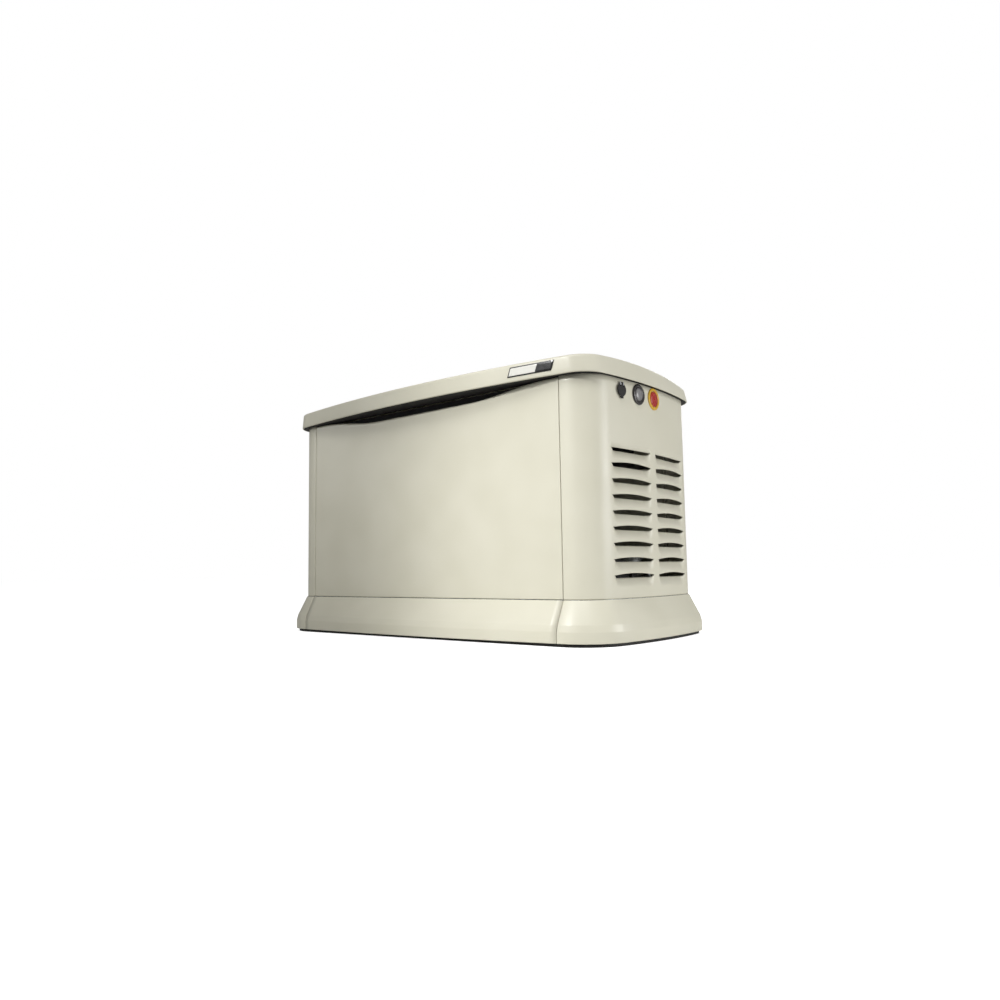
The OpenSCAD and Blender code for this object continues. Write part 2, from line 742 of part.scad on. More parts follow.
module lock_body() {
    at_end(lock_y, control_z) difference() {
        union() {
            peg(-22, 0, lock_d / 2 - 0.1);
            peg(0, 2.5, lock_flange_r);
            peg(-6, -sheet - 0.3, lock_flange_r);
            for (s = [-1, 1]) translate([0, s * 6 - 1.5, lock_flange_r - 2]) cube([6.4, 3, 8.4]);
        }
        peg(-40, 10, lock_d / 2 - 4 + run_fit);
    }
    // the pin that the weather cap hangs on
    at_end(lock_y, control_z) translate([cap_pin_x, -6, cap_pivot]) rotate([-90, 0, 0]) cylinder(h = 12, r = 1, $fn = small);
}

module lock_bodies() {
    color(steel) {
        lock_body();
        mirror([1, 0, 0]) lock_body();
    }
}

// Plug, tail and cam of a lock; unlocked, the cam stands straight up
module lock_cam() {
    at_end(lock_y, control_z) {
        difference() {
            peg(cam_x + 2, 1.5, lock_d / 2 - 4);
            block([0.5, -0.7, -4], [3, 0.7, 4]);
        }
        block([cam_x - 1, -6, -7], [cam_x + 2, 6, cam_len - 8]);
    }
}

module lock_cam_right() { color(steel) lock_cam(); }
module lock_cam_left() { color(steel) mirror([1, 0, 0]) lock_cam(); }

// Rubber weather cap, hung from the lock body's two ears, with a pull tab below
module lock_cap() {
    r = lock_flange_r + 3;
    at_end(lock_y, control_z) difference() {
        union() {
            peg(2.8, 5.8, r);
            translate([2.8, -4, r - 4]) cube([3, 8, 5]);
            translate([cap_pin_x, -4, cap_pivot]) rotate([-90, 0, 0]) cylinder(h = 8, r = 2.6, $fn = small);
            translate([2.8, -5, -r - 5]) cube([3, 10, 8]);
        }
        translate([cap_pin_x, -20, cap_pivot]) rotate([-90, 0, 0]) cylinder(h = 40, r = 1 + run_fit, $fn = small);
        for (s = [-1, 1]) translate([2, s * 6 - 2, lock_flange_r - 5.5]) cube([8, 4, 20]);
    }
}

module lock_cap_right() { color(rubber) lock_cap(); }
module lock_cap_left() { color(rubber) mirror([1, 0, 0]) lock_cap(); }

lamp_r = lamp_d / 2;
lens_r = 17;

module lamp_bezel() {
    color("#3b3836") at_end(lamp_y, control_z) rotate([0, 90, 0]) rotate_extrude($fn = mid) polygon([
        [lens_r, -14], [lamp_r - 8.2, -14], [lamp_r - 8.2, 0], [lamp_r, 0], [lamp_r, 2],
        [lamp_r - 2.5, 4.5], [lamp_r - 5.5, 5], [lamp_r - 7.5, 3], [lens_r + 1.5, 3], [lens_r, 4]
    ]);
}

module lamp_lens() {
    color("#b7b4b6") at_end(lamp_y, control_z) rotate([0, 90, 0]) rotate_extrude($fn = mid) polygon([
        [0, -3], [lens_r, -3], [lens_r, 2.5], [lens_r - 1.5, 4.5], [lens_r - 6, 6.3], [0, 7]
    ]);
}

estop_r = estop_ring_d / 2;
head_r = estop_head_d / 2;
stem_r = 7;

cup_r = head_r + 1;
cup_depth = 9;

// The ring on the wall, the cup that the head sinks into, and the tube that guides the stem
module estop_collar() {
    color("#d9b53c") at_end(estop_y, control_z) rotate([0, 90, 0]) rotate_extrude($fn = mid) polygon([
        [stem_r + run_fit, -30], [10.9, -30], [10.9, -cup_depth - 2], [cup_r + 1.5, -cup_depth - 2],
        [cup_r + 1.5, 0], [estop_r, 0], [estop_r, 2], [estop_r - 2, 3.5], [cup_r + 1.5, 3.5], [cup_r, 2.5],
        [cup_r, -cup_depth], [stem_r + run_fit, -cup_depth]
    ]);
}

module estop_button() {
    under = estop_travel + 1.5 - cup_depth;
    color("#a4312b") at_end(estop_y, control_z) rotate([0, 90, 0]) rotate_extrude($fn = mid) polygon([
        [0, -20], [stem_r, -20], [stem_r, under], [head_r - 1, under], [head_r, under + 1],
        [head_r, 1.5], [head_r - 2, 3.5], [head_r - 8, 4.8], [0, 5.4]
    ]);
}

// ---------- engine ----------

module at_bank(side) {
    translate([bank_x[side], 0, crank_z]) rotate([side == 0 ? 45 : -45, 0, 0]) children();
}

filter_x = -60;
filter_y = case_r + 4;
filter_drop = 60;
foot_z = base_h - 12 + isolator_h;

// A foot plate across two isolators, with a web up to the casting above it
module engine_foot(x, web_top) {
    block([x - 18, -isolator_y - 22, foot_z], [x + 18, isolator_y + 22, foot_z + 8]);
    block([x - 6, -60, foot_z], [x + 6, 60, web_top]);
}

module crankcase() {
    sump_z = crank_z - 118;
    color(alloy) difference() {
        union() {
            bar_x(case_x0, case_x1, case_r, 0, 0, crank_z);
            block([case_x0 + 8, -72, sump_z], [case_x1 - 8, 72, crank_z]);
            for (s = [0, 1]) at_bank(s) translate([-52, -52, 0]) cube([104, 104, deck_r]);
            for (x = [isolator_x[0], isolator_x[1]]) engine_foot(x, sump_z + eps);
            translate([filter_x, -60, crank_z - filter_drop]) rotate([90, 0, 0]) cylinder(h = filter_y - 60, r = 30, $fn = mid);
            bar_x(case_x0 - 8, case_x0 + eps, journal_r + 14, 0, 0, crank_z);
            bar_x(case_x1 - eps, case_x1 + 4, journal_r + 14, 0, 0, crank_z);
        }
        bar_x(case_x0 + 12, case_x1 - 12, cavity_r, 0, 0, crank_z);
        block([case_x0 + 18, -62, sump_z + 8], [case_x1 - 18, 62, crank_z - 20]);
        for (s = [0, 1]) at_bank(s) translate([0, 0, 20]) cylinder(h = deck_r, r = bore_r, $fn = mid);
        bar_x(case_x0 - 20, case_x1 + 20, journal_r + run_fit, 0, 0, crank_z);
    }
}

module cylinders() {
    fins = 11;
    color(iron) for (s = [0, 1]) at_bank(s) difference() {
        union() {
            translate([0, 0, deck_r]) cylinder(h = barrel_h, r = barrel_r, $fn = mid);
            for (i = [0 : fins - 1]) translate([-fin_w / 2, -fin_w / 2, deck_r + 4 + i * 8.8]) cube([fin_w, fin_w, 2.2]);
        }
        translate([0, 0, deck_r - 1]) cylinder(h = barrel_h + 2, r = bore_r, $fn = mid);
    }
}

head_h = 46;
head_base = deck_r + barrel_h;

module cylinder_heads() {
    color(alloy) for (s = [0, 1]) at_bank(s) difference() {
        union() {
            translate([-fin_w / 2, -fin_w / 2, head_base]) cube([fin_w, fin_w, 12]);
            translate([-46, -46, head_base]) cube([92, 92, head_h]);
            for (i = [1 : 4]) translate([-fin_w / 2, -fin_w / 2, head_base + 8 + i * 7]) cube([fin_w, fin_w, 2.2]);
        }
        translate([0, 0, head_base - 1]) cylinder(h = 9, r = bore_r, $fn = mid);
    }
}

module rocker_covers() {
    color(black) for (s = [0, 1]) at_bank(s) translate([0, 0, head_base + head_h]) difference() {
        union() {
            translate([-50, -50, 0]) cube([100, 100, 4]);
            translate([-42, -42, 4 - eps]) cube([84, 84, 24]);
        }
        translate([-38, -38, -1]) cube([76, 76, 25]);
    }
}

blower_r = ring_pitch_r + 14;

module blower_housing() {
    color(black) difference() {
        union() {
            bar_x(fly_x0 - 15, case_x0, blower_r + 3, blower_r, 0, crank_z);
            bar_x(case_x0 - 2, case_x0, blower_r + 3, journal_r + 30, 0, crank_z);
            // lug that carries the starter
            bar_x(case_x0 - 2, case_x0, starter_r + 2, 0, starter_y, starter_z);
            bar_x(fly_x0 - 17, fly_x0 - 15 + eps, blower_r + 3, 96, 0, crank_z);
            for (a = [0 : 30 : 150]) translate([fly_x0 - 17, 0, crank_z]) rotate([a, 0, 0])
                translate([0, -97, -1]) cube([2, 194, 2]);
            bar_x(fly_x0 - 17, fly_x0 - 15, 70, 66, 0, crank_z);
        }
        bar_x(gear_x1 - 14, case_x0 + 1, pinion_pitch_r + 6, 0, starter_y, starter_z);
        // the cooling air leaves upwards, over the cylinders
        block([gear_x1 - 4, -90, crank_z + 60], [case_x0 + 1, 90, crank_z + 160]);
    }
}

module intake_manifold() {
    z0 = crank_z + 128;
    color(alloy) difference() {
        union() {
            block([-118, -26, z0], [-82, 26, z0 + 20]);
            translate([-100, 0, z0]) cylinder(h = cleaner_z - z0, r = 26, $fn = mid);
            for (s = [0, 1]) mirror([0, s, 0]) translate([-100, 10, z0 + 48]) rotate([-90, 0, 0])
                cylinder(h = 73, r = 12, $fn = mid);
        }
        translate([-100, 0, z0 + 10]) cylinder(h = 60, r = 18, $fn = mid);
    }
}

cleaner_z = crank_z + 190;

module air_cleaner_base() {
    color(black) difference() {
        block([-185, -80, cleaner_z], [-15, 80, cleaner_z + 34]);
        block([-180, -75, cleaner_z + 4], [-20, 75, cleaner_z + 40]);
        translate([-100, 0, cleaner_z - 1]) cylinder(h = 10, r = 18, $fn = mid);
    }
}

module air_cleaner_cover() {
    z = cleaner_z + 34;
    color(black) {
        difference() {
            block([-187, -82, z], [-13, 82, z + 26]);
            block([-182, -77, z - 1], [-18, 77, z + 22]);
        }
        for (s = [-1, 1]) translate([-100 + s * 50, 0, z + 26 - eps]) cylinder(h = 8, r = 9, $fn = small);
    }
}

module starter_motor() {
    color(black) difference() {
        union() {
            bar_x(case_x0, -60, starter_r, 0, starter_y, starter_z);
            bar_x(-60 - eps, -48, starter_r - 6, 0, starter_y, starter_z);
            bar_x(-150, -80, 16, 0, starter_y + 48, starter_z - 14);
            block([-140, starter_y, starter_z - 22], [-90, starter_y + 50, starter_z - 6]);
        }
        bar_x(case_x0 - 20, case_x0 + 70, pinion_shaft_r, 0, starter_y, starter_z);
    }
}

// Involute-like straight-sided teeth
module gear_flat(n, backlash) {
    pr = n * gear_module / 2;
    tooth = 360 / n;
    top = tooth * 0.12;
    pitch_half = tooth * 0.25 - 90 * backlash / (PI * pr);
    root = tooth * 0.37 - 90 * backlash / (PI * pr);
    polygon([for (i = [0 : n - 1]) for (k = [[-root, -1.15], [-pitch_half, 0], [-top, 0.95], [top, 0.95],
        [pitch_half, 0], [root, -1.15]]) let (a = i * tooth + k[0], r = pr + k[1] * gear_module)
        [r * cos(a), r * sin(a)]]);
}

module gear_x(n, x0, x1, phase, backlash) {
    translate([x0, 0, 0]) rotate([0, 90, 0]) rotate([0, 0, phase]) linear_extrude(x1 - x0) gear_flat(n, backlash);
}

// Parked beside the ring gear, and turned so that a gap of the pinion faces a tooth of the ring
module starter_pinion() {
    line = 90 + starter_a;
    turns = line * ring_teeth / 360;
    phase = line + 180 + (turns - round(turns) - 0.5) * 360 / pinion_teeth;
    color(steel) translate([0, starter_y, starter_z]) {
        gear_x(pinion_teeth, gear_x1 + 1, gear_x1 + 1 + gear_w, phase, gear_play);
        bar_x(gear_x1 + 1 + gear_w - eps, case_x0 + 50, pinion_shaft_r - run_fit);
    }
}

module crankshaft() {
    color(steel) {
        bar_x(fly_x0 + 8, case_x0 + 30, journal_r, 0, 0, crank_z);
        bar_x(case_x1 - 30, can_x0 + 20, journal_r, 0, 0, crank_z);
        bar_x(can_x0 + 20 - eps, can_x1 + 26, shaft_r, 0, 0, crank_z);
        for (x = [-122, -92]) intersection() {
            bar_x(x, x + 14, throw + 30, 0, 0, crank_z);
            block([x - 1, -46, crank_z - 80], [x + 15, 46, crank_z + 80]);
        }
        bar_x(case_x0 + 30 - eps, -122 + eps, journal_r, 0, 0, crank_z);
        bar_x(-78 - eps, case_x1 - 30 + eps, journal_r, 0, 0, crank_z);
        bar_x(-108 - eps, -92 + eps, 18, 0, 0, crank_z + throw);
    }
}

module flywheel_fan() {
    vanes = 16;
    color(alloy) translate([0, 0, crank_z]) {
        difference() {
            union() {
                bar_x(fly_x1 - 6, fly_x1 + 2, ring_pitch_r - 6);
                bar_x(fly_x0 + 20, fly_x1, journal_r + 16);
                gear_x(ring_teeth, gear_x1 - gear_w, gear_x1, 0, gear_play);
                for (i = [0 : vanes - 1]) rotate([i * 360 / vanes, 0, 0])
                    translate([fly_x0 + 20, 60, -1.5]) cube([fly_x1 - fly_x0 - 24, ring_pitch_r - 72, 3]);
            }
            bar_x(fly_x0 - 10, gear_x1 + 10, journal_r);
        }
    }
}

rotor_x0 = 45;
rotor_x1 = 185;

module rotor() {
    color("#8a4b2a") translate([0, 0, crank_z]) difference() {
        union() {
            bar_x(rotor_x0, rotor_x1, rotor_r);
            bar_x(rotor_x0 - 12, rotor_x0 + eps, rotor_r - 14);
            bar_x(rotor_x1 - eps, rotor_x1 + 12, rotor_r - 14);
            bar_x(rotor_x1 + 20, rotor_x1 + 24, rotor_r - 4);
            bar_x(rotor_x1 + 12 - eps, rotor_x1 + 30, shaft_r + 8);
        }
        bar_x(0, 400, shaft_r);
        for (s = [-1, 1]) block([rotor_x0 - 1, s * rotor_r - 16, -12], [rotor_x1 + 1, s * rotor_r + 16, 12]);
    }
}

module stator_core() {
    color(iron) bar_x(rotor_x0 + 4, rotor_x1 - 4, can_r - 6, core_r, 0, crank_z);
}

module stator_housing() {
    z0 = crank_z - can_r;
    color(alloy) difference() {
        union() {
            bar_x(can_x0, can_x1, can_r, 0, 0, crank_z);
            for (x = [isolator_x[2], isolator_x[3]]) engine_foot(x, z0 + 20);
        }
        bar_x(can_x0 + 6, can_x1 + 1, can_r - 6, 0, 0, crank_z);
        bar_x(can_x0 - 1, can_x0 + 8, journal_r + 16, 0, 0, crank_z);
        for (a = [15 : 30 : 345]) translate([can_x1 - 34, 0, crank_z]) rotate([a, 0, 0])
            translate([0, can_r - 12, -10]) cube([22, 20, 20]);
    }
}

module bearing_carrier() {
    color(alloy) difference() {
        union() {
            bar_x(can_x1, can_x1 + 8, can_r, 0, 0, crank_z);
            bar_x(can_x1 + 8 - eps, can_x1 + 30, shaft_r + 16, 0, 0, crank_z);
        }
        bar_x(can_x1 - 1, can_x1 + 24, shaft_r + run_fit, 0, 0, crank_z);
        bar_x(can_x1 + 23, can_x1 + 27, shaft_r + 2, 0, 0, crank_z);
        for (a = [0 : 45 : 315]) translate([can_x1, 0, crank_z]) rotate([a, 0, 0])
            translate([-1, 52, -14]) cube([10, 48, 28]);
    }
}

module oil_filter() {
    color("#e2e2de") translate([filter_x, -filter_y, crank_z - filter_drop]) rotate([90, 0, 0]) {
        cylinder(h = 72, r = 36, $fn = mid);
        translate([0, 0, 72 - eps]) cylinder(h = 6, r = 30, $fn = mid);
    }
}

muffler_x = -465;
muffler_r = 80;
muffler_len = 380;

muffler_wall = 2.5;
tail_r = 20;

// A hollow can on its side, with a pipe from each cylinder and a tailpipe
module muffler() {
    color(steel) difference() {
        muffler_outside();
        translate([muffler_x, 0, crank_z]) rotate([90, 0, 0])
            cylinder(h = muffler_len - 2 * muffler_wall, r = muffler_r - muffler_wall, center = true, $fn = mid);
        bar_x(muffler_x - muffler_r - 15, muffler_x - muffler_r + 20, tail_r - 4, 0, 0, crank_z);
    }
}

module muffler_outside() {
    translate([muffler_x, 0, crank_z]) rotate([90, 0, 0]) {
        cylinder(h = muffler_len, r = muffler_r, center = true, $fn = mid);
        for (s = [-1, 1]) translate([0, 0, s * muffler_len / 2]) cylinder(h = 6, r = muffler_r + 3, center = true, $fn = mid);
    }
    for (s = [-1, 1]) hose([
        [muffler_x + 60, s * 150, crank_z + 20],
        [muffler_x + 85, s * 185, crank_z + 75],
        [divider_x, s * 205, crank_z + 95],
        [-210, s * 207, crank_z + 92],
        [bank_x[s > 0 ? 1 : 0], s * 206, crank_z + 101]
    ], 15, 3, 10);
    bar_x(muffler_x - muffler_r - 14, muffler_x - muffler_r + 20, tail_r, 0, 0, crank_z);
    for (s = [-1, 1]) block([muffler_x - 30, s * 120 - 15, tray_top], [muffler_x + 30, s * 120 + 15, crank_z - 60]);
}

module isolators() {
    color(rubber) for (x = isolator_x, s = [-1, 1])
        translate([x, s * isolator_y, base_h - 12]) cylinder(h = isolator_h, r = isolator_r, $fn = mid);
}

// ---------- fuel, battery and controls ----------

inlet_out = 23;
inlet_thread_r = 9.3;
inlet_thread_len = 20;

module fuel_regulator() {
    color(alloy) {
        difference() {
            translate([fuel_x, half_d - 90, fuel_z]) rotate([-90, 0, 0])
                cylinder(h = 90 + inlet_out, r = fuel_hole_r - 1, $fn = small);
            translate([fuel_x, half_d + inlet_out - inlet_thread_len, fuel_z]) rotate([-90, 0, 0])
                cylinder(h = inlet_thread_len + 1, r = inlet_thread_r, $fn = small);
        }
        block([fuel_x - 36, half_d - 150, fuel_z - 30], [fuel_x + 36, half_d - 88, fuel_z + 34]);
        translate([fuel_x, half_d - 118, fuel_z + 34 - eps]) cylinder(h = 26, r = 48, $fn = mid);
        block([fuel_x - 20, half_d - 140, tray_top], [fuel_x + 20, half_d - 120, fuel_z]);
    }
}

fuel_route = [
    [fuel_x - 36, half_d - 130, fuel_z + 5],
    [fuel_x - 58, half_d - 130, fuel_z + 5],
    [fuel_x - 82, half_d - 133, fuel_z + 30],
    [318, 120, 260],
    [308, 90, 380],
    [250, 60, 475],
    [120, 30, crank_z + 168],
    [-10, 0, crank_z + 162],
    [-73, 0, crank_z + 162]
];

module fuel_hose() {
    color(rubber) hose(fuel_route, 11, 4);
}

bat_lead = 148.4;   // the battery keeps this far inboard of the corner's start
bat_x0 = cor_x - bat_lead;
bat_y0 = -half_d + 30;
bat_w = 208;
bat_dep = 173;
bat_h = 190;

module battery() {
    z1 = tray_top + bat_h;
    color(black) {
        block([bat_x0, bat_y0, tray_top], [bat_x0 + bat_w, bat_y0 + bat_dep, z1]);
        block([bat_x0 + 3, bat_y0 + 3, z1 - eps], [bat_x0 + bat_w - 3, bat_y0 + bat_dep - 3, z1 + 6]);
    }
    color(steel) for (x = [bat_x0 + 28, bat_x0 + bat_w - 28])
        translate([x, bat_y0 + 40, z1 + 6 - eps]) cylinder(h = 14, r = 8, $fn = small);
}

lead_z = tray_top + bat_h + 21;
earth_route = [
    [bat_x0 + 28, bat_y0 + 40, lead_z],
    [bat_x0 + 28, bat_y0 + 40, lead_z + 14],
    [bat_x0 + 12, bat_y0 + 50, lead_z + 30],
    [300, -150, 225],
    [285, -160, 150],
    [240, -160, 135]
];
live_route = [
    [bat_x0 + bat_w - 28, bat_y0 + 40, lead_z],
    [bat_x0 + bat_w - 28, bat_y0 + 40, lead_z + 14],
    [bat_x0 + bat_w - 40, bat_y0 + 60, lead_z + 40],
    [bat_x0 + 120, -120, 300],
    [440, -90, 480],
    [430, -80, 540]
];

module wiring_leads() {
    color(rubber) {
        // the two battery cables and the two spark plug leads
        hose(earth_route, 6, 4);
        hose(live_route, 6, 4);
        for (s = [-1, 1]) hose([[-205, s * 90, crank_z + 120], [-206, s * 150, crank_z + 150],
            [-200, s * 190, crank_z + 190], [bank_x[s > 0 ? 1 : 0] - 64, s * 190, crank_z + 160]], 4, 4);
    }
}

ctl_x0 = 330;
ctl_x1 = 545;
ctl_y0 = rail_front + 30;
ctl_y1 = ctl_y0 + 120;
ctl_z1 = top_z - 14;
ctl_h = 90;
key_w = 22;
key_d = 15;
key_h = 6;
key_travel = 1.2;

module key_place(i) {
    translate([ctl_x0 + 42 + i * 34, ctl_y0 + 26, ctl_z1]) children();
}

module controller_housing() {
    color(black) difference() {
        union() {
            block([ctl_x0, ctl_y0, ctl_z1 - ctl_h], [ctl_x1, ctl_y1, ctl_z1]);
            block([ctl_x0 - 6, ctl_y0 - 6, ctl_z1 - 14], [ctl_x1 + 6, ctl_y1 + 6, ctl_z1 - 8]);
            for (x = [ctl_x0 + 10, ctl_x1 - 30])
                block([x, rail_front + 3, ctl_z1 - 28], [x + 20, ctl_y0 + eps, ctl_z1 - 20]);
        }
        block([ctl_x0 + 24, ctl_y0 + 56, ctl_z1 - 3], [ctl_x0 + 140, ctl_y0 + 104, ctl_z1 + 1]);
        for (i = [0 : 2]) key_place(i) block([-key_w / 2 - 0.4, -key_d / 2 - 0.4, -key_h - 2],
            [key_w / 2 + 0.4, key_d / 2 + 0.4, 1]);
    }
}

module key(i, c) {
    color(c) key_place(i) block([-key_w / 2, -key_d / 2, 2 - key_h], [key_w / 2, key_d / 2, 2]);
}

module auto_key() { key(0, "#3d7a45"); }
module off_key() { key(1, "#8a2f28"); }
module manual_key() { key(2, "#2f5d8a"); }

brk_x = 420;
brk_y = 90;
brk_z = top_z - 60;
toggle_r = 9;

module breaker_box() {
    color(black) difference() {
        union() {
            block([brk_x - 40, brk_y - 60, brk_z - 120], [brk_x + 40, brk_y + 60, brk_z]);
            block([brk_x - 30, brk_y + 60 - eps, brk_z - 120], [brk_x + 30, half_d - sheet, brk_z - 117]);
        }
        block([brk_x - 12, brk_y - 22, brk_z - 16], [brk_x + 12, brk_y + 22, brk_z + 1]);
    }
}

// The breaker's toggle rocks about a pin across its window
module breaker_toggle() {
    color(black) translate([brk_x, brk_y, brk_z - 3]) rotate([22, 0, 0]) {
        bar_x(-11, 11, toggle_r);
        block([-9, -4, 0], [9, 4, 24]);
    }
}

screw_r = 5;

// Button-head screws that hold the end and rear panels to the base tray
module panel_screws() {
    color(steel) for (sx = [0, 1]) mirror([sx, 0, 0]) {
        for (x = [60, 260, 440]) translate([x, half_d, base_h + 14]) rotate([-90, 0, 0]) cylinder(h = 2.5, r = screw_r, $fn = small);
    }
}

foot_pad();
base_tray();
fascia_front();
fascia_rear();
fascia_right();
fascia_left();
right_end_panel();
left_end_panel();
rear_panel();
front_top_rail();
hot_side_divider();
hinge_fixed_leaves();
stay_track();
lock_bodies();
lamp_bezel();
lamp_lens();
estop_collar();
crankcase();
cylinders();
cylinder_heads();
rocker_covers();
blower_housing();
intake_manifold();
air_cleaner_base();
air_cleaner_cover();
starter_motor();
oil_filter();
muffler();
stator_housing();
stator_core();
bearing_carrier();
fuel_regulator();
fuel_hose();
battery();
wiring_leads();
controller_housing();
breaker_box();
isolators();
panel_screws();
lid();
lid_gasket();
lid_badge();
hinge_lid_leaves();
hinge_pins();
lid_catches();
lid_stay();
front_panel();
lock_cam_right();
lock_cam_left();
lock_cap_right();
lock_cap_left();
estop_button();
crankshaft();
flywheel_fan();
rotor();
starter_pinion();
breaker_toggle();
auto_key();
off_key();
manual_key();
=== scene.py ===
# %% [markdown]
# A home standby generator stands outdoors in a sheet steel enclosure. Its skin is what the eye
# meets, so this lesson spends its effort on bent sheet: a crowned lid with a brow, a front panel
# that lifts away, end walls with pressed louvres, and a flared skirt round the base.
# The mechanical model comes in as a fixed frame. A piece whose shape is already right keeps its
# mesh and gets a finish; a piece of bent sheet is drawn again, because a press rounds its edges.

# %% Load the frame
import math

import bmesh
import bpy
from mathutils import Matrix, Vector


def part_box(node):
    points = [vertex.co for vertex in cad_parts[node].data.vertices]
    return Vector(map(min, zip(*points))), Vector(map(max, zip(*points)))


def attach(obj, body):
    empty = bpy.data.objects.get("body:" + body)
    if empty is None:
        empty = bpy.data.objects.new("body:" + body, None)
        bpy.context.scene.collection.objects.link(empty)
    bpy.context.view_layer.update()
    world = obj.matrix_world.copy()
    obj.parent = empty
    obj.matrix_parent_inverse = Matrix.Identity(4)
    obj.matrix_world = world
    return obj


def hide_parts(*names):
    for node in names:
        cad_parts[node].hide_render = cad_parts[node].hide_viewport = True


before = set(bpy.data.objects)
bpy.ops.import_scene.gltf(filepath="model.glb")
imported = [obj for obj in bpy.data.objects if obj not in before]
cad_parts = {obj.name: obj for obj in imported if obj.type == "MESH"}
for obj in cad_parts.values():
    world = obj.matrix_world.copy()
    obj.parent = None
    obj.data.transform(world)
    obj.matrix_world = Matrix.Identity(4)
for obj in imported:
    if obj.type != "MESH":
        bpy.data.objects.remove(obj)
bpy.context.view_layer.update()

# %% [markdown]
# A studio shot of a machine this size is taken from about two and a half metres, low down, so
# that the machine looms a little and its lid shows as an edge. A camera can be aimed with a
# constraint or by hand, but three angles and a place say it exactly: turn, then tilt, then roll.

# %% The camera
CAMERA_PLACE = (1.5962, -1.8544, 0.1883)
CAMERA_TURN, CAMERA_TILT, CAMERA_ROLL = 39.484, 5.137, -0.910
CAMERA_LENS_MM = 27.96
SENSOR_MM = 36
VIEW_REACH = 100


def camera_matrix(place, turn, tilt, roll):
    """A camera at a place, facing +Y turned left, tilted up and rolled, in degrees."""
    turn, tilt, roll = (math.radians(angle) for angle in (turn, tilt, roll))
    right = Vector((math.cos(turn), math.sin(turn), 0))
    forward = Vector((-math.sin(turn) * math.cos(tilt), math.cos(turn) * math.cos(tilt), math.sin(tilt)))
    up = right.cross(forward)
    side = right * math.cos(roll) + up * math.sin(roll)
    top = up * math.cos(roll) - right * math.sin(roll)
    return Matrix.Translation(place) @ Matrix((side, top, -forward)).transposed().to_4x4()


camera = bpy.data.objects.new("camera", bpy.data.cameras.new("camera"))
camera.data.sensor_width = SENSOR_MM
camera.data.lens = CAMERA_LENS_MM
camera.data.clip_end = VIEW_REACH
camera.matrix_world = camera_matrix(CAMERA_PLACE, CAMERA_TURN, CAMERA_TILT, CAMERA_ROLL)
bpy.context.scene.collection.objects.link(camera)
bpy.context.scene.camera = camera
print("camera:", CAMERA_LENS_MM, "mm lens")

# %% [markdown]
# Satin paint on flat sheet shows nothing but its lights. A broad panel overhead gives the lid
# and the slopes their shine, and a low one beside the end picks out the louvres. Two soft spots
# shape the flat front: their cones fade from the middle outwards, which draws a bright patch and
# a dim one across a sheet that would otherwise look like paper.

# %% The lights
SPOT_LAMP_R = 0.25
PANELS = {
    "overhead": dict(place=(0.9, -1.5, 2.5), aim=(0.3, -0.2, 0.2), size=(1.6, 0.9), watts=28),
    "end_side": dict(place=(3.1, 0.9, 0.75), aim=(0.6, 0, 0.36), size=(1.3, 1.1), watts=35),
    "behind": dict(place=(-1.2, 3.4, 2.0), aim=(0, 0, 0.4), size=(2.6, 1.6), watts=40),
}
SPOTS = {
    "front_right": dict(place=(-0.3, -2.9, 2.1), aim=(0.40, -0.27, 0.30), cone=23, watts=330),
    "front_left": dict(place=(-2.6, -2.5, 1.4), aim=(-0.66, -0.27, 0.50), cone=17, watts=90),
}


def add_light(name, kind, place, aim, watts, size=None, cone=None):
    """A flat panel or a soft spot, aimed at a point and hidden from the camera itself."""
    data = bpy.data.lights.new(name, kind)
    data.energy = watts
    if size:
        data.shape = "RECTANGLE"
        data.size, data.size_y = size
    if cone:
        data.spot_size = math.radians(cone)
        data.spot_blend = 1.0
        data.shadow_soft_size = SPOT_LAMP_R
    light = bpy.data.objects.new(name, data)
    light.location = place
    light.rotation_euler = (Vector(aim) - Vector(place)).to_track_quat("-Z", "Y").to_euler()
    light.visible_camera = False
    bpy.context.scene.collection.objects.link(light)


for light_name, facts in PANELS.items():
    add_light(light_name, "AREA", **facts)
for light_name, facts in SPOTS.items():
    add_light(light_name, "SPOT", **facts)
bpy.context.scene.view_settings.view_transform = "Standard"
print("lights:", len(PANELS) + len(SPOTS))

# %% [markdown]
# Every finish below is a node tree. Paint charts and screens give colours as sRGB codes, and a
# shader works in linear light, so one function turns a code into a linear colour. One more adds
# a node: it takes the settings, which may be node attributes or sockets, and the links into it.

# %% Colours and nodes
NOISE_LOW, NOISE_HIGH = 0.3, 0.7


def linear(code):
    """An sRGB code such as #d9d5c1, as a linear colour with full alpha."""
    parts = [int(code[i:i + 2], 16) / 255 for i in (1, 3, 5)]
    return tuple(p / 12.92 if p <= 0.04045 else ((p + 0.055) / 1.055) ** 2.4 for p in parts) + (1.0,)


def add_node(tree, kind, settings=None, links=None):
    """A node, with its attributes or input sockets set and other nodes' outputs linked in."""
    node = tree.nodes.new(kind)
    for key, value in (settings or {}).items():
        if isinstance(key, str) and hasattr(node, key):
            setattr(node, key, value)
        else:
            node.inputs[key].default_value = value
    for key, source in (links or {}).items():
        tree.links.new(source, node.inputs[key])
    return node


def start_material(name, **surface):
    """A material with a Principled shader, its sockets set from a dict of names."""
    material = bpy.data.materials.new(name)
    material.use_nodes = True
    tree = material.node_tree
    shader = tree.nodes["Principled BSDF"]
    for key, value in surface.items():
        shader.inputs[key.replace("_", " ")].default_value = value
    return material, tree, shader


def metres(tree):
    """Object coordinates: one unit is a metre, so a scale of 1 / size gives a pattern's size."""
    return add_node(tree, "ShaderNodeTexCoord").outputs["Object"]


